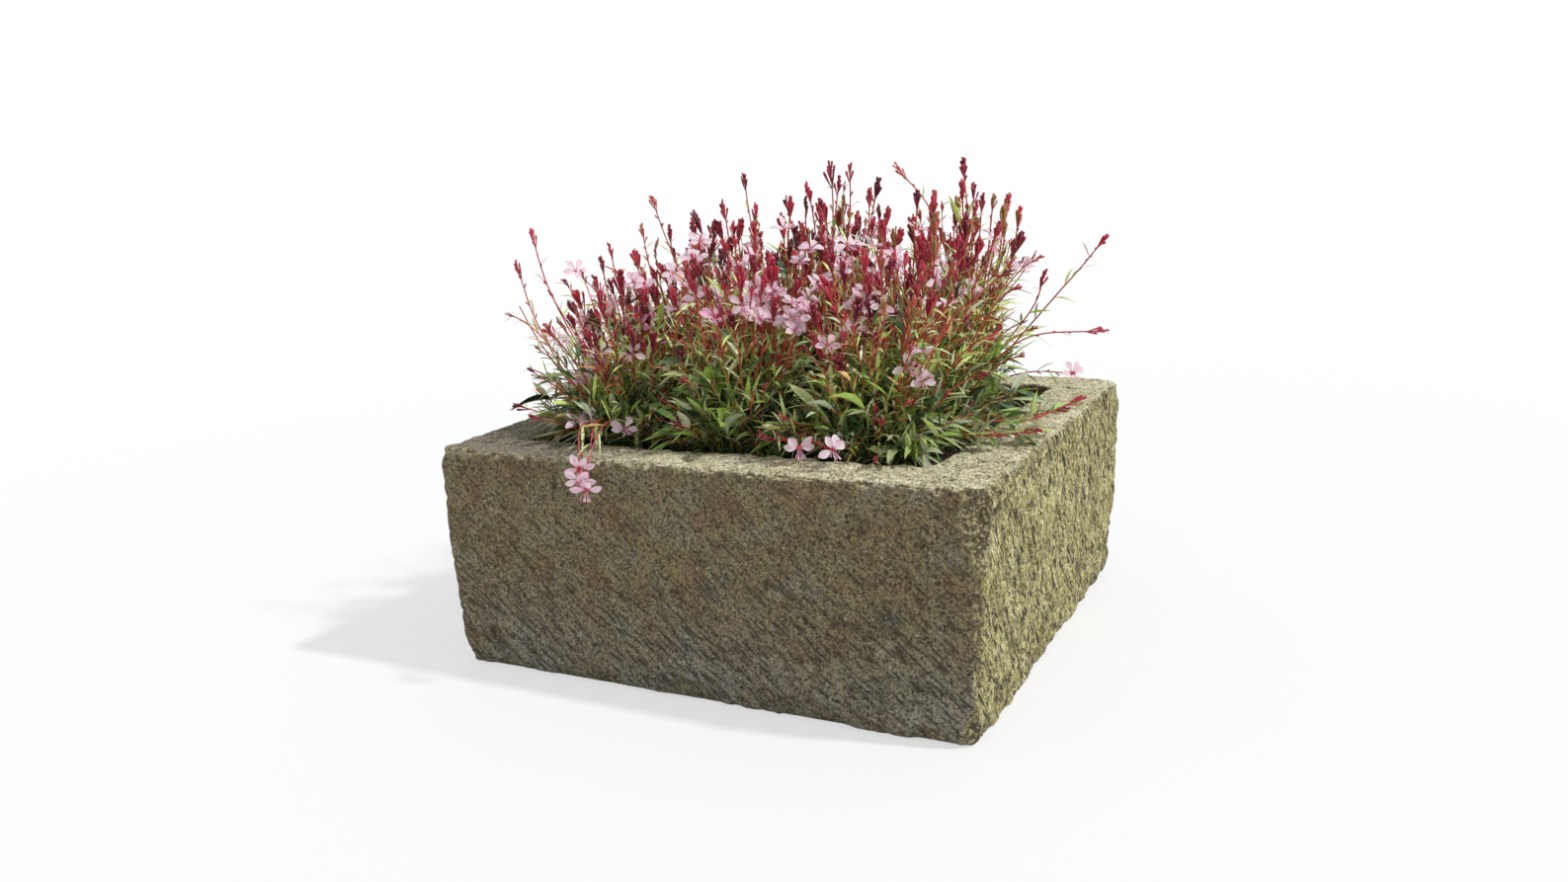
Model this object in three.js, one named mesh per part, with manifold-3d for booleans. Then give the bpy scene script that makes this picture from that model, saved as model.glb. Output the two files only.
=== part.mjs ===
// A planted stone trough: one hand-dressed sandstone block, hollowed out as a planter, with drain
// holes, crocks, gravel, filter fleece, potting soil and nine gaura plants in flower.
// Millimetres, +Z up. The origin lies on the ground under the middle of the block, -Y is the front.
import * as THREE from 'three';
import { mergeVertices } from 'three/addons/utils/BufferGeometryUtils.js';
import Module from 'manifold-3d';

const wasm = await Module();
wasm.setup();

// The block outside, measured at its rim
const LENGTH = 700;
const WIDTH = 606;
const HEIGHT = 281;
const RIGHT_BATTER = 15;
const BACK_BATTER = 5;
const RIM_WEAR = 7;
const FOOT_WEAR = 12;
const CORNER_RADIUS = 11;
const HEWN_DEPTH = 2.5;
const HEWN_WAVE = 190;
const STROKE_SPACING = 72;
const STROKE_LENGTH = 64;
const STROKE_WIDTH = 13;
const STROKE_DEPTH = 4.5;
const STROKE_SLOPE = THREE.MathUtils.degToRad(40);
const KNOCK_DEPTH = 17;

// The hollow
const FRONT_WALL = 74;
const BACK_WALL = 70;
const SIDE_WALL = 80;
const FLOOR = 70;
const HOLLOW_BATTER = 12;
const HOLLOW_RADIUS = 34;
const HOLLOW_COVE = 14;
const HOLLOW_LIP = 5;

// Drainage, from the floor up
const DRAIN_RADIUS = 16;
const CROCK_RADIUS = 62;
const CROCK_THICKNESS = 7;
const CROCK_LENGTH = 84;
const CROCK_HALF_ARC = THREE.MathUtils.degToRad(42);
const CROCK_SKEWS = [20, -34].map(THREE.MathUtils.degToRad);
const GRAVEL_DEPTH = 36;
const PEBBLE = 3;
const FLEECE = 2;
const FLEECE_UPSTAND = 26;
const SOIL_BELOW_RIM = 27;
const SOIL_MOUND = 7;
const SEAT_GAP = 0.3;
const WELD = 0.001;
const OVERRUN = 20;

// The plants
const ROWS = 3;
const COLUMNS = 3;
const ROOT_BALL_RADIUS = 42;
const ROOT_BALL_FOOT_RADIUS = 34;
const ROOT_BALL_DEPTH = 72;
const CROWN_RADIUS = 25;
const CROWN_HEIGHT = 17;
const STEM_HEIGHT = 318;
const STEM_RADIUS = 1.9;
const STEM_TIP_RADIUS = 1.1;
const STEMS_A_PLANT = 13;
const ARCHING_STEMS = 5;
const LEAF_HEAP_HEIGHT = 126;
const LEAF_POINTS = 12;
const LEAF_CLEARANCE = 11;
const TUFT_LENGTH = 34;
const TUFT_RADIUS = 5.5;
const TUFT_TOP = 3;
const PETALS = 4;
const PETAL_SPREAD = THREE.MathUtils.degToRad(52);
const PETAL_LENGTH = 17;
const PETAL_WIDTH = 12;
const PETAL_THICKNESS = 1.4;
const PLANT_GAP = 1;

// Shares of the sizes above, chosen by eye against the stone and the planting
const STROKE_STRAY_SHARE = 0.55;
const STROKE_SIZE_SHARES = [0.6, 1.1];
const PITCH_SHARE = 0.91;
const PLANT_SHIFT_SHARES = [-0.02, -0.02];
const ROW_HEIGHT_SHARES = [0.8, 0.9, 0.99];
const COLUMN_HEIGHT_SHARES = [0.88, 1, 0.98];
const FAN_SHARE = 0.14;
const LEAF_HEAP_SHARES = [[0.05, 0.4], [0.27, 0.98], [0.66, 1], [1, 0.58]];
const LEAF_POINT_SHARE = 0.13;
const REACH_SHARE = 0.5;
const CLUMP_SHARE = 0.8;
const LEAN_OUT_SHARE = 0.45;
const ARCH_OVER_RIM_SHARES = [0.45, 0.85];
const ARCH_HEIGHT_SHARES = [0.3, 0.7];
const ARCH_KNEE_SHARE = 0.9;
const ARCH_TUFT_SHARE = 0.6;
const BED_RING_SHARES = [0.8, 0.55, 0.3];
const DRAIN_SPACING_SHARE = 5 / 9;
const CROCK_OUTLINE_SHARES = [[-1, -0.8], [0.1, -1], [1, -0.62], [0.9, 0.7], [-0.2, 1], [-1, 0.55]];
const STEM_IN_LEAVES_SHARE = 0.2;
const FLOWER_AT_SHARE = 0.86;
const FLOWERING_SHARE = 0.34;
const FLOWER_FACING = new THREE.Vector3(0.25, -1, 0.25).normalize();

const GOLDEN_SHARE = (Math.sqrt(5) - 1) / 2;
const GOLDEN_ANGLE = 2 * Math.PI * (1 - GOLDEN_SHARE);
const UP = new THREE.Vector3(0, 0, 1);

// Worked out from the sizes above
const SOIL_LEVEL = HEIGHT - SOIL_BELOW_RIM;
const HOLLOW_LENGTH = LENGTH - 2 * SIDE_WALL;
const HOLLOW_WIDTH = WIDTH - FRONT_WALL - BACK_WALL;
const HOLLOW_MIDDLE_Y = (FRONT_WALL - BACK_WALL) / 2;
const PITCH = new THREE.Vector2(HOLLOW_LENGTH / COLUMNS, HOLLOW_WIDTH / ROWS).multiplyScalar(PITCH_SHARE);

const vec = (x, y, z) => new THREE.Vector3(x, y, z);

// A repeatable number from 0 to 1 for two counts, so that every build grows the same plants
function chance(a, b) {
  const wave = Math.sin(a * 12.9898 + b * 78.233) * 43758.5453;
  return wave - Math.floor(wave);
}

// Skins rings of points into one closed surface. Each end closes in a fan to its ring's middle.
function loft(rings) {
  const count = Math.max(...rings.map((ring) => ring.length));
  const positions = [];
  const face = (...corners) => corners.forEach((p) => positions.push(p.x, p.y, p.z));
  const middle = (ring) => ring.reduce((sum, p) => sum.add(p), vec(0, 0, 0)).divideScalar(ring.length);
  const first = rings[0];
  const last = rings[rings.length - 1];
  for (let i = 0; i < count; i++) {
    const j = (i + 1) % count;
    if (first.length > 1) face(middle(first), first[j], first[i]);
    if (last.length > 1) face(middle(last), last[i], last[j]);
    for (let k = 0; k + 1 < rings.length; k++) {
      const low = rings[k];
      const high = rings[k + 1];
      if (low.length > 1) face(low[i], low[j], high.length > 1 ? high[j] : high[0]);
      if (high.length > 1) face(low.length > 1 ? low[i] : low[0], high[j], high[i]);
    }
  }
  const geometry = new THREE.BufferGeometry();
  geometry.setAttribute('position', new THREE.Float32BufferAttribute(positions, 3));
  return geometry;
}

function solid(geometry) {
  const bare = geometry.clone();
  bare.deleteAttribute('normal');
  bare.deleteAttribute('uv');
  const merged = mergeVertices(bare, WELD);
  return new wasm.Manifold(new wasm.Mesh({
    numProp: 3,
    vertProperties: merged.attributes.position.array,
    triVerts: new Uint32Array(merged.index.array),
  }));
}

function fromSolid(made) {
  const mesh = made.getMesh();
  const geometry = new THREE.BufferGeometry();
  const positions = new Float32Array(mesh.numVert * 3);
  for (let i = 0; i < mesh.numVert; i++) {
    positions.set(mesh.vertProperties.subarray(i * mesh.numProp, i * mesh.numProp + 3), i * 3);
  }
  geometry.setAttribute('position', new THREE.BufferAttribute(positions, 3));
  geometry.setIndex(new THREE.BufferAttribute(new Uint32Array(mesh.triVerts), 1));
  geometry.computeVertexNormals();
  return geometry;
}

// One level of a four-sided wall: points round a rectangle whose corners are rounded
function wallRing(box, radius, z, sideSteps = 6, cornerSteps = 4) {
  const corners = [
    [box.right - radius, box.front + radius],
    [box.right - radius, box.back - radius],
    [box.left + radius, box.back - radius],
    [box.left + radius, box.front + radius],
  ];
  const arcs = corners.map(([x, y], n) => {
    const points = [];
    for (let s = 0; s <= cornerSteps; s++) {
      const angle = (n - 1 + s / cornerSteps) * Math.PI / 2;
      points.push(vec(x + radius * Math.cos(angle), y + radius * Math.sin(angle), z));
    }
    return points;
  });
  return arcs.flatMap((arc, n) => {
    const from = arc[arc.length - 1];
    const to = arcs[(n + 1) % arcs.length][0];
    const side = [];
    for (let s = 1; s < sideSteps; s++) side.push(from.clone().lerp(to, s / sideSteps));
    return [...arc, ...side];
  });
}

// The outer box at a height: upright at the front and left, battered at the right and back
function outerBox(z, inset = 0) {
  const down = 1 - z / HEIGHT;
  return {
    left: -LENGTH / 2 + inset,
    right: LENGTH / 2 - RIGHT_BATTER * down - inset,
    front: -WIDTH / 2 + inset,
    back: WIDTH / 2 - BACK_BATTER * down - inset,
  };
}

// The hollow's box at a height, narrowing downwards and coved where it meets the floor
function hollowBox(z, inset = 0) {
  const down = (HEIGHT - z) / (HEIGHT - FLOOR);
  const cove = Math.max(0, HOLLOW_COVE - (z - FLOOR));
  const all = HOLLOW_BATTER * down + cove + inset;
  return {
    left: -LENGTH / 2 + SIDE_WALL + all,
    right: LENGTH / 2 - SIDE_WALL - all,
    front: -WIDTH / 2 + FRONT_WALL + all,
    back: WIDTH / 2 - BACK_WALL - all,
  };
}

// The mason's uneven dressing: a slow swell in the outer faces, none on the ground
function hew(ring, box, share) {
  const middle = vec((box.left + box.right) / 2, (box.front + box.back) / 2, 0);
  return ring.map((p) => {
    const along = Math.sin((p.x + 2 * p.z) / HEWN_WAVE * Math.PI);
    const across = Math.sin((p.y - 1.5 * p.z) / HEWN_WAVE * Math.PI);
    const out = vec(p.x - middle.x, p.y - middle.y, 0).normalize();
    return p.clone().addScaledVector(out, (along * across - 1) / 2 * HEWN_DEPTH * share);
  });
}

function troughBlock() {
  const outerLevels = [
    [0, FOOT_WEAR, 0.6],
    [FOOT_WEAR / 2, FOOT_WEAR / 4, 1],
    [FOOT_WEAR, 0, 1],
    [HEIGHT * 0.25, 0, 1],
    [HEIGHT * 0.5, 0, 1],
    [HEIGHT * 0.75, 0, 1],
    [HEIGHT - RIM_WEAR, 0, 1],
    [HEIGHT - RIM_WEAR / 4, RIM_WEAR / 2, 1],
    [HEIGHT, RIM_WEAR, 0.6],
  ];
  const outside = outerLevels.map(([z, inset, share]) => {
    const box = outerBox(z, inset);
    return hew(wallRing(box, CORNER_RADIUS, z), box, share);
  });
  const innerLevels = [
    [HEIGHT, -HOLLOW_LIP],
    [HEIGHT - HOLLOW_LIP, 0],
    [(HEIGHT + FLOOR) / 2, 0],
    [FLOOR + HOLLOW_COVE, 0],
    [FLOOR, 0],
  ];
  const inside = innerLevels.map(([z, inset]) => wallRing(hollowBox(z, inset), HOLLOW_RADIUS, z));
  const cuts = [...drains.map(drainCut), ...pickStrokes(), ...KNOCK_SHARES.map(knock)];
  return fromSolid(solid(loft([...outside, ...inside])).subtract(wasm.Manifold.union(cuts)));
}

// The main strokes of the mason's pick: short slanting grooves, some way apart on each of the four sides
function pickStrokes() {
  const { left, right, front, back } = outerBox(HEIGHT, HEWN_DEPTH / 2);
  const middle = vec((left + right) / 2, (front + back) / 2, 0);
  const [halfLength, halfWidth] = [(right - left) / 2, (back - front) / 2];
  const sides = [
    { facing: vec(0, -1, 0), half: halfLength, away: halfWidth, batter: 0 },
    { facing: vec(1, 0, 0), half: halfWidth, away: halfLength, batter: RIGHT_BATTER },
    { facing: vec(0, 1, 0), half: halfLength, away: halfWidth, batter: BACK_BATTER },
    { facing: vec(-1, 0, 0), half: halfWidth, away: halfLength, batter: 0 },
  ];
  const rows = Math.round(HEIGHT / STROKE_SPACING);
  const [foot, head] = [FOOT_WEAR + STROKE_LENGTH / 3, HEIGHT - RIM_WEAR - STROKE_LENGTH / 3];
  return sides.flatMap(({ facing, half, away, batter }, side) => {
    const level = UP.clone().cross(facing);
    const slant = level.clone().applyAxisAngle(facing, STROKE_SLOPE);
    const reach = half - CORNER_RADIUS - STROKE_LENGTH / 2;
    const columns = Math.round(2 * half / STROKE_SPACING);
    return Array.from({ length: rows * columns }, (_, n) => {
      const stray = (seed) => STROKE_STRAY_SHARE * (chance(n, side + seed) - 0.5);
      const across = (n % columns + 0.5 + stray(0)) / columns;
      const up = (Math.floor(n / columns) + 0.5 + stray(4)) / rows;
      const size = THREE.MathUtils.lerp(...STROKE_SIZE_SHARES, chance(n, side + 8));
      const z = THREE.MathUtils.lerp(foot, head, up);
      const spot = middle.clone()
        .addScaledVector(facing, away - batter * (1 - z / HEIGHT))
        .addScaledVector(level, THREE.MathUtils.lerp(-reach, reach, across))
        .setZ(z);
      const path = [-1, 0, 1].map((t) => spot.clone().addScaledVector(slant, t * size * STROKE_LENGTH / 2));
      const widths = [0, size * STROKE_WIDTH, 0];
      const depths = [0, 2 * size * STROKE_DEPTH, 0];
      return sliver(path, widths, depths, 4, facing.clone().cross(slant));
    });
  });
}

// Knocked stretches of the upright arrises: the corner's side in X and Y, then the middle and the length
// as shares of the height, and the depth as a share of the deepest knock
const KNOCK_SHARES = [
  { corner: [1, -1], middle: 0.88, long: 0.56, deep: 1 },
  { corner: [1, -1], middle: 0.05, long: 0.24, deep: 0.8 },
  { corner: [-1, -1], middle: 0.02, long: 0.26, deep: 1 },
  { corner: [-1, -1], middle: 0.98, long: 0.16, deep: 0.6 },
  { corner: [1, 1], middle: 0.98, long: 0.24, deep: 0.9 },
  { corner: [-1, 1], middle: 0.98, long: 0.2, deep: 0.7 },
];

function knock({ corner, middle, long, deep }) {
  const path = [-1, 0, 1].map((t) => {
    const z = HEIGHT * (middle + t * long / 2);
    const box = outerBox(z);
    return vec(corner[0] > 0 ? box.right : box.left, corner[1] > 0 ? box.back : box.front, z);
  });
  const widths = [0, 2 * Math.SQRT2 * KNOCK_DEPTH * deep, 0];
  return sliver(path, widths, widths, 4, vec(1, 0, 0));
}

// The drain holes stand apart by a share of the hollow's length
const drains = [-1, 1].map((side, n) => ({
  x: side * HOLLOW_LENGTH * DRAIN_SPACING_SHARE / 2,
  skew: CROCK_SKEWS[n],
}));

function drainCut({ x }) {
  const cut = new THREE.CylinderGeometry(DRAIN_RADIUS, DRAIN_RADIUS, FLOOR + 2 * OVERRUN, 24);
  cut.rotateX(Math.PI / 2);
  cut.translate(x, 0, FLOOR / 2);
  return solid(cut);
}

// An arched strip lying along Y over its drain hole: the part of a tube that an arc spans
function arch(inner, outer, length, drain) {
  const drop = CROCK_RADIUS * Math.cos(CROCK_HALF_ARC);
  const from = Math.PI / 2 - CROCK_HALF_ARC;
  const to = Math.PI / 2 + CROCK_HALF_ARC;
  const section = new THREE.Shape();
  section.absarc(0, -drop, outer, from, to, false);
  section.absarc(0, -drop, inner, to, from, true);
  const strip = new THREE.ExtrudeGeometry(section, { depth: length, bevelEnabled: false, curveSegments: 12 });
  strip.translate(0, 0, -length / 2);
  strip.rotateX(Math.PI / 2);
  strip.rotateZ(drain.skew);
  strip.translate(drain.x, 0, FLOOR + SEAT_GAP);
  return solid(strip);
}

// A shard of a broken clay pot, arched over a drain hole so that gravel can't wash in
function crock(drain) {
  const outer = CROCK_RADIUS + CROCK_THICKNESS;
  const outline = new THREE.Shape(CROCK_OUTLINE_SHARES.map(([u, v]) => (
    new THREE.Vector2(u * outer, v * CROCK_LENGTH / 2))));
  const cutter = new THREE.ExtrudeGeometry(outline, { depth: HEIGHT, bevelEnabled: false });
  cutter.rotateZ(drain.skew);
  cutter.translate(drain.x, 0, 0);
  return fromSolid(arch(CROCK_RADIUS, outer, CROCK_LENGTH, drain).intersect(solid(cutter)));
}

// The room that the gravel leaves for a crock and for the water under it
function crockRoom(drain) {
  const outer = CROCK_RADIUS + CROCK_THICKNESS + SEAT_GAP;
  const half = outer * Math.sin(CROCK_HALF_ARC);
  const edgeRise = (outer - CROCK_RADIUS) * Math.cos(CROCK_HALF_ARC);
  const length = CROCK_LENGTH + 2 * SEAT_GAP;
  const under = new THREE.BoxGeometry(2 * half, length, 2 * CROCK_THICKNESS);
  under.rotateZ(drain.skew);
  under.translate(drain.x, 0, FLOOR + edgeRise - CROCK_THICKNESS);
  return arch(SEAT_GAP, outer, length, drain).add(solid(under));
}

// A bed that fills the hollow between two heights, its top an even field of bumps
function bed(low, high, gap, bump, wave, sideSteps = 6) {
  const rings = [];
  const levels = [low, ...(low < FLOOR + HOLLOW_COVE ? [FLOOR + HOLLOW_COVE] : []), high];
  for (const z of levels) rings.push(wallRing(hollowBox(z, gap), HOLLOW_RADIUS, z, sideSteps));
  const edge = rings[rings.length - 1];
  const centre = vec(0, HOLLOW_MIDDLE_Y, high);
  for (const share of BED_RING_SHARES) {
    rings.push(edge.map((p, n) => {
      const q = p.clone().lerp(centre, 1 - share);
      q.z += bump(share, Math.sin(q.x / wave) * Math.cos(q.y / wave + n % 2));
      return q;
    }));
  }
  centre.z += bump(0, 0);
  rings.push([centre]);
  return solid(loft(rings));
}

const GRAVEL_TOP = FLOOR + GRAVEL_DEPTH;

function gravelBed() {
  const heap = (share, ripple) => -PEBBLE + PEBBLE * 0.9 * ripple;
  let gravel = bed(FLOOR + SEAT_GAP, GRAVEL_TOP, SEAT_GAP, heap, 4 * PEBBLE, 5);
  for (const drain of drains) gravel = gravel.subtract(crockRoom(drain));
  return fromSolid(gravel);
}

// The fleece lies on the gravel and turns up against the walls
function fleeceTray() {
  const low = GRAVEL_TOP + SEAT_GAP;
  const top = low + FLEECE + FLEECE_UPSTAND;
  const ring = (z, inset) => wallRing(hollowBox(z, inset), HOLLOW_RADIUS, z);
  return loft([
    ring(low, SEAT_GAP),
    ring(top, SEAT_GAP),
    ring(top, SEAT_GAP + FLEECE),
    ring(low + FLEECE, SEAT_GAP + FLEECE),
  ]);
}

// -1 or 1 for the first and last of a row, which lean outwards, and 0 for those between
const edgeSide = (n, count) => (n === 0 ? -1 : Number(n === count - 1));

// Where each plant stands, its share of the full height and the sides to which it leans out. The one at
// the back right doesn't lean, because soil shows in its corner.
function plantPlaces() {
  const places = [];
  for (let row = 0; row < ROWS; row++) {
    for (let column = 0; column < COLUMNS; column++) {
      const x = (column - (COLUMNS - 1) / 2 + PLANT_SHIFT_SHARES[0]) * PITCH.x;
      const y = (row - (ROWS - 1) / 2 + PLANT_SHIFT_SHARES[1]) * PITCH.y + HOLLOW_MIDDLE_Y;
      const tall = ROW_HEIGHT_SHARES[row % ROW_HEIGHT_SHARES.length]
        * COLUMN_HEIGHT_SHARES[column % COLUMN_HEIGHT_SHARES.length];
      const sides = [edgeSide(column, COLUMNS), edgeSide(row, ROWS)];
      const outer = sides[0] > 0 && sides[1] > 0 ? [0, 0] : sides;
      places.push({ number: places.length, row, column, x, y, tall, outer });
    }
  }
  return places;
}

function circle(x, y, z, radius, sides = 12) {
  const points = [];
  for (let n = 0; n < sides; n++) {
    const angle = n / sides * 2 * Math.PI;
    points.push(vec(x + radius * Math.cos(angle), y + radius * Math.sin(angle), z));
  }
  return points;
}

// A plant's root ball with its crown, or its socket in the soil when grown by a gap
function rootBall(place, gap = 0) {
  const top = SOIL_LEVEL - SEAT_GAP;
  const rings = [
    circle(place.x, place.y, top - ROOT_BALL_DEPTH - gap, ROOT_BALL_FOOT_RADIUS + gap),
    circle(place.x, place.y, top, ROOT_BALL_RADIUS + gap),
  ];
  if (gap > 0) {
    rings.push(circle(place.x, place.y, top + OVERRUN, ROOT_BALL_RADIUS + gap));
  } else {
    rings.push(circle(place.x, place.y, top + CROWN_HEIGHT * 0.6, CROWN_RADIUS));
    rings.push([vec(place.x, place.y, top + CROWN_HEIGHT)]);
  }
  return solid(loft(rings));
}

function soilBed(places) {
  const low = GRAVEL_TOP + FLEECE + 2 * SEAT_GAP;
  const brim = SOIL_LEVEL - SOIL_MOUND;
  const mound = (share, ripple) => SOIL_MOUND * (1 - share) + SOIL_MOUND * 0.25 * ripple;
  let soil = bed(low, brim, 2 * SEAT_GAP + FLEECE, mound, 2 * SOIL_MOUND, 5);
  for (const place of places) soil = soil.subtract(rootBall(place, SEAT_GAP));
  return fromSolid(soil);
}

// A slender body along a path: a ring of a few sides at each point, with its own width and depth
function sliver(path, widths, depths, sides, side) {
  const rings = path.map((p, n) => {
    if (widths[n] === 0) return [p];
    const ahead = path[Math.min(n + 1, path.length - 1)].clone().sub(path[Math.max(n - 1, 0)]).normalize();
    const across = side.clone().addScaledVector(ahead, -side.dot(ahead)).normalize();
    const through = ahead.clone().cross(across);
    const ring = [];
    for (let s = 0; s < sides; s++) {
      const angle = s / sides * 2 * Math.PI;
      ring.push(p.clone()
        .addScaledVector(across, Math.cos(angle) * widths[n] / 2)
        .addScaledVector(through, Math.sin(angle) * depths[n] / 2));
    }
    return ring;
  });
  return solid(loft(rings));
}

// A stem's path, from inside the crown to the tip of its flower spike
function stemPath(place, k) {
  const out = Math.sqrt((k * 0.7548776662 + 0.25) % 1);
  const turn = k * GOLDEN_ANGLE;
  const u = out * Math.cos(turn);
  const v = out * Math.sin(turn);
  const clump = ROOT_BALL_RADIUS * CLUMP_SHARE;
  const base = vec(place.x + u * clump, place.y + v * clump, SOIL_LEVEL - STEM_RADIUS);
  const height = STEM_HEIGHT * place.tall * (1 - 0.2 * out * out) * (0.84 + 0.24 * chance(k, place.number));
  const fan = 1 + FAN_SHARE * height / STEM_HEIGHT;
  const tip = vec((place.x + u * PITCH.x * REACH_SHARE) * fan, (place.y + v * PITCH.y * REACH_SHARE) * fan,
    SOIL_LEVEL + height);
  const knee = base.clone().lerp(tip, 0.42);
  knee.z = SOIL_LEVEL + height * 0.56;
  return new THREE.QuadraticBezierCurve3(base, knee, tip);
}

// Low stems that arch out over the rim, on a plant at either end of the planting
function archingPaths(place) {
  const aside = place.outer[0];
  const clump = ROOT_BALL_RADIUS * CLUMP_SHARE;
  const paths = [];
  for (let k = 0; k < ARCHING_STEMS * Math.abs(aside); k++) {
    const over = THREE.MathUtils.lerp(...ARCH_OVER_RIM_SHARES, chance(k, place.number + 20));
    const high = (k + chance(k, place.number + 30)) / ARCHING_STEMS;
    const rise = THREE.MathUtils.lerp(...ARCH_HEIGHT_SHARES, high);
    const spread = (k * GOLDEN_SHARE + 0.3) % 1 - 0.5;
    const base = vec(place.x + aside * clump, place.y + spread * clump, SOIL_LEVEL);
    const tip = vec(
      aside * (LENGTH / 2 - SIDE_WALL * over),
      place.y + spread * PITCH.y,
      SOIL_LEVEL + STEM_HEIGHT * rise,
    );
    const knee = base.clone().lerp(tip, 0.5);
    knee.z = THREE.MathUtils.lerp(base.z, tip.z, ARCH_KNEE_SHARE);
    paths.push(new THREE.QuadraticBezierCurve3(base, knee, tip));
  }
  return paths;
}

// A stem from where it comes out of the heap of leaves up to its tip
function stem(curve, steps = 2) {
  const path = [];
  for (let n = 0; n <= steps; n++) {
    path.push(curve.getPoint(THREE.MathUtils.lerp(STEM_IN_LEAVES_SHARE, 1, n / steps)));
  }
  const widths = path.map((p, n) => 2 * THREE.MathUtils.lerp(STEM_RADIUS, STEM_TIP_RADIUS, n / steps));
  return sliver(path, widths, widths, 3, vec(1, 0, 0));
}

// A spike's tuft of buds: narrow at its foot, widest near its top
function tuft(tip, along, scale = 1) {
  const foot = tip.clone().addScaledVector(along, -TUFT_LENGTH * scale);
  const path = [0, 0.75, 1].map((t) => foot.clone().lerp(tip, t).addScaledVector(along, TUFT_TOP * t));
  const girths = [0, 1, 0].map((g) => 2 * TUFT_RADIUS * scale * g);
  return sliver(path, girths, girths, 4, vec(1, 0, 0));
}

// The leaves of a plant, heaped round the feet of its stems: points of leaves all round each level.
// Where the plant leans out, its leaves pass over the rim.
function leafHeap(place) {
  const lean = (way, outer) => 1 + LEAN_OUT_SHARE * Math.max(0, Math.sign(way) * outer);
  const rings = LEAF_HEAP_SHARES.map(([up, out], level) => {
    const ring = [];
    const lowest = level === 0 ? 0 : HEIGHT + LEAF_CLEARANCE;
    for (let n = 0; n < LEAF_POINTS; n++) {
      const angle = (n + level / 2 + 0.6 * chance(n, level + place.number)) / LEAF_POINTS * 2 * Math.PI;
      const long = n % 2 === 0 ? 1 + LEAF_POINT_SHARE : 1 - LEAF_POINT_SHARE;
      const reach = out * long / 2;
      const droop = n % 2 === 0 ? 0 : LEAF_POINT_SHARE / 3;
      ring.push(vec(
        place.x + Math.cos(angle) * reach * PITCH.x * lean(Math.cos(angle), place.outer[0]),
        place.y + Math.sin(angle) * reach * PITCH.y * lean(Math.sin(angle), place.outer[1]),
        Math.max(lowest, SOIL_LEVEL + LEAF_HEAP_HEIGHT * place.tall * (up + droop)),
      ));
    }
    return ring;
  });
  return solid(loft(rings));
}

// Four petals spread like a moth's wings across a facing direction, as one notched and dished blade
function flower(centre, facing) {
  const across = UP.clone().cross(facing).normalize();
  const rise = facing.clone().cross(across).normalize();
  const outline = [];
  const point = (angle, reach, forward) => outline.push(centre.clone()
    .addScaledVector(across, Math.sin(angle) * reach)
    .addScaledVector(rise, Math.cos(angle) * reach)
    .addScaledVector(facing, forward));
  for (let petal = 0; petal < PETALS; petal++) {
    const angle = (petal + 0.5 - PETALS / 2) * PETAL_SPREAD;
    const notch = petal === PETALS - 1 ? Math.PI : angle + PETAL_SPREAD / 2;
    point(angle, PETAL_LENGTH, PETAL_LENGTH * 0.3);
    point(notch, PETAL_WIDTH * 0.4, 0);
  }
  const front = centre.clone().addScaledVector(facing, PETAL_THICKNESS / 2);
  const back = centre.clone().addScaledVector(facing, -STEM_RADIUS);
  return solid(loft([[front], outline, [back]]));
}

// The room a plant keeps to. It fans out with height, and the outer plants may lean over the rim.
function growingRoom(place) {
  const edge = (n, count, pitch, shift, middle) => {
    const far = 3 * pitch * count;
    const low = n === 0 ? -far : (n - count / 2 + shift) * pitch + PLANT_GAP / 2;
    const high = n === count - 1 ? far : (n + 1 - count / 2 + shift) * pitch - PLANT_GAP / 2;
    return [low + middle, high + middle];
  };
  const [left, right] = edge(place.column, COLUMNS, PITCH.x, PLANT_SHIFT_SHARES[0], 0);
  const [front, back] = edge(place.row, ROWS, PITCH.y, PLANT_SHIFT_SHARES[1], HOLLOW_MIDDLE_Y);
  const level = (z) => {
    const fan = 1 + FAN_SHARE * Math.max(0, z - SOIL_LEVEL) / STEM_HEIGHT;
    const corners = [[left, front], [right, front], [right, back], [left, back]];
    return corners.map(([x, y]) => vec(x * fan, y * fan, z));
  };
  const low = level(SOIL_LEVEL - 2 * ROOT_BALL_DEPTH);
  return solid(loft([low, level(SOIL_LEVEL), level(SOIL_LEVEL + 2 * STEM_HEIGHT)]));
}

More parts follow.
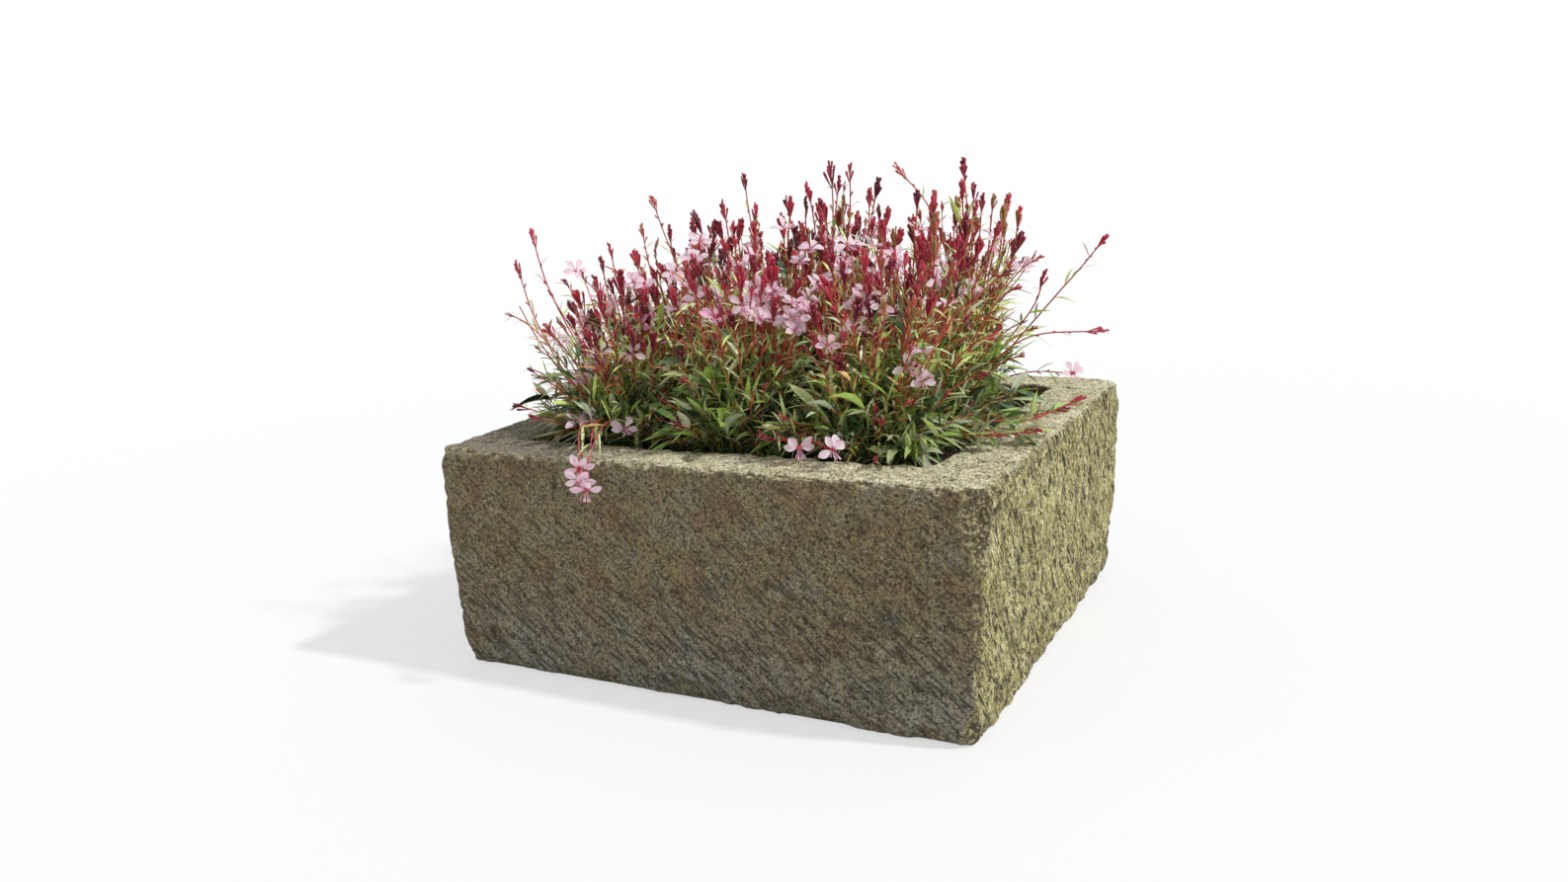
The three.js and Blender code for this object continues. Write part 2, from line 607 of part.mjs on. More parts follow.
// Stems that stray from the mass: the plant's column and row, then the stem's points as shares of half
// the block's length and width, and of the stems' height above the rim
const STRAY_STEM_SHARES = [
  { grows: [0, 0], points: [[-0.66, -0.47, 0.25], [-0.79, -0.49, 0.55], [-0.84, -0.5, 0.78]] },
  { grows: [0, 0], points: [[-0.7, -0.5, 0.15], [-0.84, -0.52, 0.42], [-0.9, -0.53, 0.65]] },
  { grows: [1, 1], points: [[0.1, 0.12, 0.3], [0.15, 0.18, 0.7], [0.16, 0.2, 0.97]] },
  { grows: [1, 2], points: [[-0.2, 0.35, 0.3], [-0.32, 0.34, 0.7], [-0.35, 0.33, 0.95]] },
  { grows: [2, 2], points: [[0.7, 0.32, 0.2], [0.9, 0.3, 0.45], [1.06, 0.3, 0.66]] },
  { grows: [2, 1], points: [[0.68, 0.05, 0.16], [0.85, 0.07, 0.31], [1.11, 0.07, 0.35]] },
  { grows: [2, 2], points: [[0.62, 0.4, 0.06], [0.77, 0.4, 0.12], [0.93, 0.4, 0.12]], flowers: true },
  { grows: [2, 0], points: [[0.78, -0.36, 0.06], [0.95, -0.33, 0.08], [1.13, -0.2, 0.16]] },
  { grows: [0, 0], points: [[-0.5, -0.72, 0.06], [-0.42, -0.93, 0.09], [-0.35, -1.08, -0.02]], flowers: true },
  { grows: [1, 0], points: [[0.12, -0.58, 0.06], [0.22, -0.76, 0.09], [0.36, -0.86, 0.06]], flowers: true },
];

function strayStem(place, stray) {
  const points = stray.points.map(([u, v, w]) => (
    vec(u * LENGTH / 2, v * WIDTH / 2, HEIGHT + w * STEM_HEIGHT)));
  const curve = new THREE.CatmullRomCurve3([vec(place.x, place.y, SOIL_LEVEL), ...points]);
  const tip = curve.getPoint(1);
  const head = stray.flowers ? flower(tip, FLOWER_FACING) : tuft(tip, curve.getTangent(1));
  return [stem(curve, 6), head];
}

// One plant: its root ball and crown, its leaves, and its stems, each with a tuft of buds or a flower
function plant(place) {
  const pieces = [rootBall(place), leafHeap(place)];
  for (let k = 0; k < STEMS_A_PLANT; k++) {
    const curve = stemPath(place, k);
    pieces.push(stem(curve));
    pieces.push(tuft(curve.getPoint(1), curve.getTangent(1), 0.8 + 0.35 * chance(k, place.number)));
    if (chance(k + 0.5, place.number) < FLOWERING_SHARE) {
      pieces.push(flower(curve.getPoint(FLOWER_AT_SHARE), FLOWER_FACING));
    }
  }
  for (const curve of archingPaths(place)) {
    pieces.push(stem(curve, 3), tuft(curve.getPoint(1), curve.getTangent(1), ARCH_TUFT_SHARE));
  }
  for (const stray of STRAY_STEM_SHARES) {
    const [column, row] = stray.grows;
    if (column === place.column && row === place.row) pieces.push(...strayStem(place, stray));
  }
  const whole = wasm.Manifold.union(pieces).intersect(growingRoom(place));
  const bodies = whole.decompose().sort((a, b) => b.volume() - a.volume());
  return fromSolid(bodies[0]);
}

const sandstone = new THREE.MeshStandardMaterial({ color: 0x857d60, roughness: 0.95, metalness: 0 });
const terracotta = new THREE.MeshStandardMaterial({ color: 0xa85f3f, roughness: 0.9, metalness: 0 });
const pebbles = new THREE.MeshStandardMaterial({ color: 0x8f8a80, roughness: 0.85, metalness: 0 });
const felt = new THREE.MeshStandardMaterial({ color: 0xb9bab4, roughness: 1, metalness: 0 });
const compost = new THREE.MeshStandardMaterial({ color: 0x33271c, roughness: 1, metalness: 0 });
const gauraGreen = new THREE.MeshStandardMaterial({ color: 0x5b6b2c, roughness: 0.6, metalness: 0 });

function piece(name, geometry, material) {
  const mesh = new THREE.Mesh(geometry, material);
  mesh.name = name;
  return mesh;
}

const planter = new THREE.Group();
const places = plantPlaces();
const [leftDrain, rightDrain] = drains;
planter.add(
  piece('stone_trough', troughBlock(), sandstone),
  piece('crock_left', crock(leftDrain), terracotta),
  piece('crock_right', crock(rightDrain), terracotta),
  piece('drainage_gravel', gravelBed(), pebbles),
  piece('filter_fleece', fleeceTray(), felt),
  piece('potting_soil', soilBed(places), compost),
);
const rowNames = ['front', 'middle', 'back'];
const columnNames = ['left', 'centre', 'right'];
for (const place of places) {
  planter.add(piece(`gaura_${rowNames[place.row]}_${columnNames[place.column]}`, plant(place), gauraGreen));
}

export default planter;
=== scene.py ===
# %% [markdown]
# # A stone trough planted with gaura
# This lesson dresses the CAD model of a garden trough: one hand-worked block of sandstone, hollowed
# out, filled with gravel, fleece and compost, and planted with nine gauras in flower. The packed
# CAD model comes in first, as a fixed frame. Every piece made below is placed in that same frame,
# in metres, so nothing has to be fitted afterwards.

# %% Load the frame
import math
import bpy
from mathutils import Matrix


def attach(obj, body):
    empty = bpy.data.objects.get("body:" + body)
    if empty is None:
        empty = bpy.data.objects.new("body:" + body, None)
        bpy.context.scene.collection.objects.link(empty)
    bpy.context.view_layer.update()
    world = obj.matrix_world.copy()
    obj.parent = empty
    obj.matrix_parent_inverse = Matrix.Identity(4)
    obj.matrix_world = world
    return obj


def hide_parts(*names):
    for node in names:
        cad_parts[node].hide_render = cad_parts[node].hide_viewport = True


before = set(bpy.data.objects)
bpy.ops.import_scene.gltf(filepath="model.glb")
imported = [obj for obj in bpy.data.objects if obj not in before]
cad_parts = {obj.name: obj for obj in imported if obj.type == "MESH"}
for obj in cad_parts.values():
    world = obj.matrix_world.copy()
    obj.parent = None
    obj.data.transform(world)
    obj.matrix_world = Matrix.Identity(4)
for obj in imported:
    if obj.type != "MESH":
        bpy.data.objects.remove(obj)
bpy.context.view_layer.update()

from types import SimpleNamespace

import bmesh
import bpy
import numpy as np
from mathutils import Matrix, Vector

# %% [markdown]
# ## The camera
# The photographer stood to the right of the trough and a little above it, and held the camera
# slightly crooked. A camera could be aimed with a tracking constraint, but a constraint can't roll
# the view by a chosen angle. So the three directions of the camera are worked out from its angles
# and written straight into its matrix.

# %% Set up the camera
SENSOR_WIDTH = 36
LENS = 27.99
STANDPOINT = (0.70893, -1.39711, 0.60425)
TURN, DIP, ROLL = (math.radians(angle) for angle in (-27.84, 13.046, -3.165))

forward = Vector((math.sin(TURN) * math.cos(DIP), math.cos(TURN) * math.cos(DIP), -math.sin(DIP)))
level = Vector((math.cos(TURN), -math.sin(TURN), 0))
upright = level.cross(forward)
right = level * math.cos(ROLL) + upright * math.sin(ROLL)
above = upright * math.cos(ROLL) - level * math.sin(ROLL)

camera = bpy.data.objects.new("camera", bpy.data.cameras.new("camera"))
camera.data.sensor_width = SENSOR_WIDTH
camera.data.lens = LENS
camera.matrix_world = Matrix((right, above, -forward)).transposed().to_4x4()
camera.location = STANDPOINT
bpy.context.scene.collection.objects.link(camera)
bpy.context.scene.camera = camera
bpy.context.scene.view_settings.view_transform = "Standard"
print("camera at", tuple(round(v, 3) for v in camera.location))

# %% [markdown]
# ## Light and ground
# In the garden the sun stood high behind the right end of the trough, which left its front in
# shade. A soft sun from there, with an even sky, gives the same bright and dark sides. The ground is
# a plain pale sheet. For the camera it is partly lit from itself, so that it comes out nearly white
# and still keeps the soft shadow of the trough. Further off it glows fully and melts into the sky.

# %% Lamps and sky
TOWARDS_SUN = Vector((0.68, 0.12, 0.72))
SUN_LIGHT, SUN_WIDTH = 2.5, math.radians(3.5)
SKY_COLOUR, SKY_LIGHT = (0.94, 0.97, 1, 1), 0.56

lamp = bpy.data.objects.new("sun", bpy.data.lights.new("sun", "SUN"))
lamp.data.energy = SUN_LIGHT
lamp.data.angle = SUN_WIDTH
lamp.rotation_euler = TOWARDS_SUN.to_track_quat("Z", "Y").to_euler()
bpy.context.scene.collection.objects.link(lamp)


def seen_directly(tree):
    """A socket that is 1 where the camera, a mirror or glass looks straight at a surface, else 0."""
    path = tree.nodes.new("ShaderNodeLightPath")
    seen = path.outputs["Is Camera Ray"]
    for way in ("Is Glossy Ray", "Is Transmission Ray"):
        either = tree.nodes.new("ShaderNodeMath")
        either.operation = "MAXIMUM"
        tree.links.new(seen, either.inputs[0])
        tree.links.new(path.outputs[way], either.inputs[1])
        seen = either.outputs[0]
    return seen


def show_instead(tree, lit, shown, output):
    """Lets the camera see one shader where another one lights the scene, and plugs both in."""
    choose = tree.nodes.new("ShaderNodeMixShader")
    for result, socket in (
            (seen_directly(tree), choose.inputs["Fac"]), (lit.outputs[0], choose.inputs[1]),
            (shown.outputs[0], choose.inputs[2]), (choose.outputs[0], tree.nodes[output].inputs["Surface"])):
        tree.links.new(result, socket)


sky = bpy.data.worlds.new("sky")
sky.use_nodes = True
bpy.context.scene.world = sky
sky_nodes = sky.node_tree.nodes
plain_sky = sky_nodes["Background"]
plain_sky.inputs["Color"].default_value = SKY_COLOUR
plain_sky.inputs["Strength"].default_value = SKY_LIGHT
white_sky = sky_nodes.new("ShaderNodeBackground")
white_sky.inputs["Color"].default_value = (1, 1, 1, 1)
show_instead(sky.node_tree, plain_sky, white_sky, "World Output")
print("sky and sun are set")

# %% The ground
GROUND_SIDE = 16
GROUND_COLOUR = (0.86, 0.86, 0.85, 1)
GLOW_SHARE = 0.6
FADE_START, FADE_END = 1.2, 3.2

bpy.ops.mesh.primitive_plane_add(size=GROUND_SIDE)
ground = bpy.context.object
ground.name = "ground"

paper = bpy.data.materials.new("pale_ground")
paper.use_nodes = True
paper_nodes = paper.node_tree.nodes
matt = paper_nodes["Principled BSDF"]
matt.inputs["Base Color"].default_value = GROUND_COLOUR
matt.inputs["Roughness"].default_value = 0.95
glow = paper_nodes.new("ShaderNodeEmission")
half_lit = paper_nodes.new("ShaderNodeMixShader")
spot = paper_nodes.new("ShaderNodeNewGeometry")
distance = paper_nodes.new("ShaderNodeVectorMath")
distance.operation = "LENGTH"
fade = paper_nodes.new("ShaderNodeMapRange")
for name, value in (("From Min", FADE_START), ("From Max", FADE_END), ("To Min", GLOW_SHARE), ("To Max", 1)):
    fade.inputs[name].default_value = value
for result, socket in (
        (spot.outputs["Position"], distance.inputs[0]), (distance.outputs["Value"], fade.inputs["Value"]),
        (fade.outputs[0], half_lit.inputs["Fac"]), (matt.outputs[0], half_lit.inputs[1]),
        (glow.outputs[0], half_lit.inputs[2])):
    paper.node_tree.links.new(result, socket)
show_instead(paper.node_tree, matt, half_lit, "Material Output")
ground.data.materials.append(paper)
print("ground is", GROUND_SIDE, "m wide")

# %% [markdown]
# ## Helpers for everything that follows
# A finish in Blender is a small network of nodes. The class below adds nodes by name and links
# them in one line each, which keeps the recipes short enough to read. Sizes of patterns are given
# in metres, because a mason or a gardener would say that a grain is a millimetre wide, and not that
# its scale is 1000.

# %% A helper for finishes
class Finish:
    """A material under construction. Each call adds a node or a few and gives back the result."""

    def __init__(self, name, roughness=0.9):
        self.material = bpy.data.materials.new(name)
        self.material.use_nodes = True
        self.tree = self.material.node_tree
        self.shader = self.tree.nodes["Principled BSDF"]
        self.shader.inputs["Roughness"].default_value = roughness
        self.place = self.add("ShaderNodeTexCoord").outputs["Object"]

    def add(self, kind, inputs=None, **settings):
        """Adds a node, sets its properties, and sets or links its inputs."""
        node = self.tree.nodes.new(kind)
        for name, value in settings.items():
            setattr(node, name, value)
        for name, value in (inputs or {}).items():
            self.feed(node.inputs[name], value)
        return node

    def feed(self, socket, value):
        """Links a result into a socket, or writes a plain value there."""
        if isinstance(value, bpy.types.NodeSocket):
            self.tree.links.new(value, socket)
        elif hasattr(value, "__len__") and len(value) == 3 and socket.type == "RGBA":
            socket.default_value = (*value, 1)
        else:
            socket.default_value = value

    def clouds(self, size, detail=3, rough=0.55, stretch=(1, 1, 1)):
        """Cloudy noise with patches about this many metres across."""
        where = self.add("ShaderNodeMapping", {"Vector": self.place, "Scale": stretch}).outputs[0]
        return self.add("ShaderNodeTexNoise", {
            "Vector": where, "Scale": 1 / size, "Detail": detail, "Roughness": rough}).outputs["Fac"]

    def dashes(self, size, long, turn):
        """Noise drawn out along a slanting line: turn gives the angles about X, Y and Z."""
        where = self.add("ShaderNodeMapping", {"Vector": self.place, "Rotation": turn, "Scale": long},
                         vector_type="TEXTURE").outputs[0]
        return self.add("ShaderNodeTexNoise", {
            "Vector": where, "Scale": 1 / size, "Detail": 2}).outputs["Fac"]

    def pocks(self, size, share, wide):
        """Small round pocks in a share of the cells of a pattern, 1 in a pock and 0 between them."""
        near = self.stretch(self.cells(size), wide * 0.7, wide, 1, 0)
        return self.times(near, self.stretch(self.drawn(size), share - 0.02, share + 0.02, 1, 0))

    def drawn(self, size):
        """A random number from 0 to 1 for each cell of a pattern."""
        return self.add("ShaderNodeSeparateColor", {0: self.cells(size, output="Color")}).outputs[0]

    def cells(self, size, output="Distance"):
        """A pattern of rounded cells about this many metres across."""
        return self.add("ShaderNodeTexVoronoi", {"Vector": self.place, "Scale": 1 / size}).outputs[output]

    def stretch(self, value, low, high, start=0, end=1):
        """Maps the stretch of a value from low to high onto start to end, and clips it there."""
        return self.add("ShaderNodeMapRange", {
            "Value": value, "From Min": low, "From Max": high, "To Min": start, "To Max": end}).outputs[0]

    def sum(self, way, first, second):
        """One sum on two numbers, such as ADD or MULTIPLY."""
        return self.add("ShaderNodeMath", {0: first, 1: second}, operation=way).outputs[0]

    def times(self, first, second):
        """The product of two numbers."""
        return self.sum("MULTIPLY", first, second)

    def blend(self, amount, first, second, way="MIX"):
        """Mixes two colours."""
        mix = self.add("ShaderNodeMix", data_type="RGBA", blend_type=way)
        for socket, value in ((mix.inputs[0], amount), (mix.inputs[6], first), (mix.inputs[7], second)):
            self.feed(socket, value)
        return mix.outputs[2]

    def shades(self, value, stops):
        """A run of colours along a value: a stop is a place and a colour as a screen shows it."""
        ramp = self.add("ShaderNodeValToRGB", {"Fac": value})
        points = ramp.color_ramp.elements
        while len(points) < len(stops):
            points.new(0.5)
        for point, (place, *colour) in zip(points, stops):
            point.position = place
            point.color = (*tone(*colour), 1)
        return ramp.outputs["Color"]

    def parts(self, vector):
        """The X, Y and Z parts of a direction or a place."""
        return tuple(self.add("ShaderNodeSeparateXYZ", {0: vector}).outputs)

    def marks(self):
        """The three marks stored on each point of a piece, such as how far along a stem it lies."""
        return self.parts(self.add("ShaderNodeAttribute", attribute_name="marks").outputs["Vector"])

    def relief(self, height, depth):
        """Fine relief that is too small for the mesh."""
        return self.add("ShaderNodeBump", {"Height": height, "Distance": depth, "Strength": 1}).outputs[0]

    def let_through(self, share, colour):
        """Lets a share of the light pass through a thin leaf or petal."""
        lit_from_behind = self.add("ShaderNodeBsdfTranslucent", {"Color": colour})
        both = self.add("ShaderNodeMixShader", {
            "Fac": share, 1: self.shader.outputs[0], 2: lit_from_behind.outputs[0]})
        self.tree.links.new(both.outputs[0], self.tree.nodes["Material Output"].inputs["Surface"])

    def finish(self, colour, normal=None, roughness=None):
        """Plugs the results into the shader and gives the material."""
        self.feed(self.shader.inputs["Base Color"], colour)
        if normal is not None:
            self.feed(self.shader.inputs["Normal"], normal)
        if roughness is not None:
            self.feed(self.shader.inputs["Roughness"], roughness)
        return self.material


def tone(red, green, blue):
    """A colour as a screen shows it, from 0 to 255, turned into the light values that shaders use."""
    return tuple(c / 12.92 if c <= 0.04045 else ((c + 0.055) / 1.055) ** 2.4
                 for c in (red / 255, green / 255, blue / 255))


# %% [markdown]
# Every piece is a mesh made from lists of points and faces. The next helper makes it, finishes it
# and hides the CAD nodes that it stands for. Points that lie in rings, one ring after another, are
# joined by quads. Bumps and chances are worked out from plain sums, so they come out the same on
# every run.

# %% A helper for pieces
def new_piece(name, points, faces, material, replaces, marks=None, round_to=None):
    """Makes a mesh object in the frame, with its finish, and hides the CAD nodes that it stands for."""
    mesh = bpy.data.meshes.new(name)
    mesh.from_pydata(np.asarray(points).tolist(), [], faces)
    mesh.materials.append(material)
    if marks is not None:
        stored = mesh.attributes.new("marks", "FLOAT_VECTOR", "POINT")
        stored.data.foreach_set("vector", np.asarray(marks, np.float32).ravel())
    mesh.polygons.foreach_set("use_smooth", np.ones(len(mesh.polygons), bool))
    if round_to is not None:
        mesh.set_sharp_from_angle(angle=math.radians(round_to))
    made = bpy.data.objects.new(name, mesh)
    bpy.context.scene.collection.objects.link(made)
    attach(made, "root")
    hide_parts(*replaces)
    print(f"{name}: {len(mesh.polygons)} faces")
    return made


# %% Helpers for rings, bumps and chances
def ring_faces(rings, around):
    """Quads between rings of points that lie one after another, each with the same number round it."""
    ring = np.arange(rings - 1)[:, None] * around
    here = np.arange(around)[None, :]
    after = (here + 1) % around
    return np.stack([ring + here, ring + after, ring + around + after, ring + around + here],
                    axis=-1).reshape(-1, 4)


def capped_faces(rings, around):
    """The faces of rings that are closed by one flat face at both ends."""
    last = (rings - 1) * around
    return ring_faces(rings, around).tolist() + [list(range(around))[::-1], list(range(last, last + around))]


def circle(count):
    """This many angles, evenly spaced round a full turn."""
    return np.linspace(0, 2 * math.pi, count, endpoint=False)


def lumps(points, size, seed):
    """Smooth random bumps about `size` metres across, from -1 to 1, at each point."""
    scaled = np.asarray(points) / size + seed * 17.31
    cell = np.floor(scaled).astype(np.int64)
    part = scaled - cell
    part = part * part * (3 - 2 * part)
    total = np.zeros(scaled.shape[:-1])
    for corner in np.ndindex(2, 2, 2):
        key = (cell + corner) @ np.array([73856093, 19349663, 83492791])
        key = (key ^ (key >> 13)) * 1274126177
        key = (key ^ (key >> 16)) & 0xFFFF
        weight = np.prod(np.where(corner, part, 1 - part), axis=-1)
        total += weight * (key / 0x8000 - 1)
    return total


def chance(first, second):
    """A repeatable random share from 0 to 1 for a pair of numbers."""
    wave = np.sin(first * 12.9898 + second * 78.233) * 43758.5453
    return wave - np.floor(wave)


print("helpers are ready")

# %% [markdown]
# ## The block of sandstone
# The real trough is one block, squared and hollowed by hand with a pick. Its faces are uneven, its
# arrises are knocked and rounded, and rows of short slanting strokes cover its sides. Blender could
# carve this with sculpting or with displacement textures. Here the block is built from rings of
# points that run up the outside, over the rim and down into the hollow, because then every point
# can be moved by a rule that says what the mason or the frost did there.

# %% Measures of the block
LENGTH, WIDTH, HEIGHT = 0.700, 0.606, 0.281
RIGHT_BATTER, BACK_BATTER = 0.015, 0.005
RIM_WEAR, FOOT_WEAR, CORNER_RADIUS = 0.007, 0.012, 0.011
FRONT_WALL, BACK_WALL, SIDE_WALL = 0.074, 0.070, 0.080
HOLLOW_MIDDLE = np.array([0, (FRONT_WALL - BACK_WALL) / 2, 0])
FLOOR, HOLLOW_BATTER, HOLLOW_RADIUS, HOLLOW_COVE, HOLLOW_LIP = 0.070, 0.012, 0.034, 0.014, 0.005
MOUTH_RADIUS, MOUTH_LEVELS = 0.020, (0.23, 0.26)
HOLLOW_LEVELS = (0.271, 0.266, 0.26, 0.253, 0.245, 0.23, 0.2, 0.16, 0.12, 0.084, 0.079, 0.074, 0.0715, FLOOR)
DRAIN_RADIUS, DRAIN_SPACING = 0.016, (LENGTH - 2 * SIDE_WALL) * 5 / 9
print("the block measures", LENGTH, "by", WIDTH, "by", HEIGHT, "m")

# %% Outlines of the block at any height
SIDE_COUNTS, CORNER_STEPS = (290, 250, 130, 110), 5


def outer_box(z, inset):
    """The block's outside at a height as left, right, front, back: battered at the right and back."""
    down = 1 - z / HEIGHT
    return (-LENGTH / 2 + inset, LENGTH / 2 - RIGHT_BATTER * down - inset,
            -WIDTH / 2 + inset, WIDTH / 2 - BACK_BATTER * down - inset)


def hollow_box(z, inset):
    """The hollow at a height: it narrows downwards, and a cove joins its walls to its floor."""
    down = (HEIGHT - z) / (HEIGHT - FLOOR)
    low = np.clip((HOLLOW_COVE - (z - FLOOR)) / HOLLOW_COVE, 0, 1)
    all_round = HOLLOW_BATTER * down + HOLLOW_COVE * (1 - math.sqrt(1 - low * low)) + inset
    return (-LENGTH / 2 + SIDE_WALL + all_round, LENGTH / 2 - SIDE_WALL - all_round,
            -WIDTH / 2 + FRONT_WALL + all_round, WIDTH / 2 - BACK_WALL - all_round)


def ring(box, radius, z, counts):
    """Points round a rectangle with round corners: along the front, right, back and left side."""
    left, right, front, back = box
    corners = [(right - radius, front + radius), (right - radius, back - radius),
               (left + radius, back - radius), (left + radius, front + radius)]
    points = []
    for side, count in enumerate(counts):
        x, y = corners[side - 1]
        turn = (side - 1) * math.pi / 2
        start = np.array([x + radius * math.cos(turn), y + radius * math.sin(turn)])
        x, y = corners[side]
        end = np.array([x + radius * math.cos(turn), y + radius * math.sin(turn)])
        points.append(start + (end - start) * np.linspace(0, 1, count, endpoint=False)[:, None])
        bend = turn + np.linspace(0, math.pi / 2, CORNER_STEPS, endpoint=False)
        points.append(np.stack([x + radius * np.cos(bend), y + radius * np.sin(bend)], axis=1))
    flat = np.concatenate(points)
    return np.column_stack([flat, np.full(len(flat), z)])


def outer_ring(z, inset=0):
    """One ring of points round the outside of the block."""
    return ring(outer_box(z, inset), CORNER_RADIUS, z, SIDE_COUNTS)


def hollow_ring(z, inset, counts, radius=HOLLOW_RADIUS):
    """One ring of points round the hollow, or this far inside it."""
    return ring(hollow_box(z, inset), radius, z, counts)


# %% Rings up the outside, over the rim and down into the hollow
WALL_LEVELS, RIM_RINGS = 102, 26

quarter = np.linspace(0, math.pi / 2, 5)
rings = [outer_ring(FOOT_WEAR * (1 - math.cos(a)), FOOT_WEAR * (1 - math.sin(a))) for a in quarter]
rings += [outer_ring(z) for z in np.linspace(FOOT_WEAR, HEIGHT - RIM_WEAR, WALL_LEVELS + 2)[1:-1]]
rings += [outer_ring(HEIGHT - RIM_WEAR * (1 - math.sin(a)), RIM_WEAR * (1 - math.cos(a))) for a in quarter]
RIM_START = len(rings)
rim_edge, lip = rings[-1], hollow_ring(HEIGHT, -HOLLOW_LIP, SIDE_COUNTS, MOUTH_RADIUS)
rings += [rim_edge * (1 - share) + lip * share for share in np.linspace(0, 1, RIM_RINGS + 1)[1:]]
HOLLOW_START = len(rings)
for a in np.linspace(0, math.pi / 2, 4)[1:]:
    rings.append(hollow_ring(HEIGHT - HOLLOW_LIP * (1 - math.cos(a)), -HOLLOW_LIP * (1 - math.sin(a)),
                             SIDE_COUNTS, MOUTH_RADIUS))
for z in HOLLOW_LEVELS:
    radius = np.interp(z, MOUTH_LEVELS, (HOLLOW_RADIUS, MOUTH_RADIUS))
    rings.append(hollow_ring(z, 0, SIDE_COUNTS, radius))

rings = np.array(rings)
RINGS, AROUND = rings.shape[:2]
print("the block has", RINGS, "rings of", AROUND, "points")

# %% [markdown]
# ## Marks of the pick and of time
# The mason worked down each face with a pick held in one hand, so the strokes slope the same way
# and lie in loose rows. Each stroke is a shallow groove that starts and stops. The sum of slow
# swells, rough grain, grooves and pits moves each point in or out along the face. Knocked corners
# and chips are scooped away last.

# %% Which way each point of the stone faces
def outward(grid):
    """The direction that the surface faces at each point of the rings."""
    along = np.roll(grid, -1, axis=1) - np.roll(grid, 1, axis=1)
    up = np.gradient(grid, axis=0)
    facing = np.cross(along, up)
    return facing / np.linalg.norm(facing, axis=-1, keepdims=True)


facing = outward(rings)
x, y, z = rings[..., 0], rings[..., 1], rings[..., 2]
front, right_side = np.clip(-facing[..., 1], 0, 1) ** 2, np.clip(facing[..., 0], 0, 1) ** 2
back, left_side = np.clip(facing[..., 1], 0, 1) ** 2, np.clip(-facing[..., 0], 0, 1) ** 2
top = np.clip(facing[..., 2], 0, 1) ** 2
outside = (np.arange(RINGS) < RIM_START)[:, None] * 1.0
print("points on the outside:", int(outside.sum()) * AROUND)

# %% Short strokes of the pick
SLOPE, STEEP_SLOPE = math.radians(40), math.radians(56)
STROKE_SPACING, STROKE_WIDTH, STROKE_LENGTH = 0.0135, 0.0026, 0.026


def strokes(across, along, spacing, width, length, seed):
    """Depth, from 0 to 1, of rows of short grooves: where a point lies across and along the rows."""
    wander = lumps(np.stack([across, along, 0 * along], -1), 5 * spacing, seed) * 0.45
    place = across / spacing + wander
    row = np.floor(place)
    flat = np.stack([row * 7.7, along / length + row * 0.37, 0 * row], -1)
    struck = np.clip(lumps(flat, 1.0, seed + 1) * 3 + 0.2, 0, 1)
    off = (place - row - 0.5) * spacing
    return struck * np.exp(-(off / width) ** 2)


def slanting(level_way, seed, slope=SLOPE):
    """Strokes that slope down along one level direction of a face."""
    across = level_way * math.sin(slope) + z * math.cos(slope)
    along = level_way * math.cos(slope) - z * math.sin(slope)
    return strokes(across, along, STROKE_SPACING, STROKE_WIDTH, STROKE_LENGTH, seed)


# %% Long strokes
MAIN_SPACING, MAIN_LENGTH, MAIN_WIDTH, MAIN_DEPTH = 0.072, 0.064, 0.013, 0.0045
HEWN_DEPTH = 0.0025


def main_strokes(grid):
    """Depth in metres of the long strokes that the CAD block has too, some way apart on each side."""
    depth = np.zeros(grid.shape[:2])
    sides = [(0, -1, LENGTH), (1, 0, WIDTH), (0, 1, LENGTH), (-1, 0, WIDTH)]
    for side, (face_x, face_y, long) in enumerate(sides):
        seen = facing[..., 0] * face_x + facing[..., 1] * face_y > 0.6
        level_way, height = (grid[..., 1] * face_x - grid[..., 0] * face_y)[seen], grid[..., 2][seen]
        half = long / 2 - HEWN_DEPTH / 2
        reach = half - CORNER_RADIUS - MAIN_LENGTH / 2
        columns, rows = round(2 * half / MAIN_SPACING), round(HEIGHT / MAIN_SPACING)
        low, high = FOOT_WEAR + MAIN_LENGTH / 3, HEIGHT - RIM_WEAR - MAIN_LENGTH / 3
        cut = np.zeros(len(height))
        for n in range(rows * columns):
            across = (n % columns + 0.5 + 0.55 * (chance(n, side) - 0.5)) / columns
            up = (n // columns + 0.5 + 0.55 * (chance(n, side + 4) - 0.5)) / rows
            size = 0.6 + 0.5 * chance(n, side + 8)
            right_of = level_way - reach * (2 * across - 1)
            above_it = height - low - (high - low) * up
            along = right_of * math.cos(SLOPE) - above_it * math.sin(SLOPE)
            off = right_of * math.sin(SLOPE) + above_it * math.cos(SLOPE)
            inside = 1 - 2 * np.abs(along) / (size * MAIN_LENGTH) - 2 * np.abs(off) / (size * MAIN_WIDTH)
            cut = np.maximum(cut, size * MAIN_DEPTH * np.clip(inside, 0, 1))
        depth[seen] = cut
    return depth


# %% All the unevenness together
GROOVE_DEPTH, STREAK_DEPTH, PIT_DEPTH = 0.0024, 0.0012, 0.0024

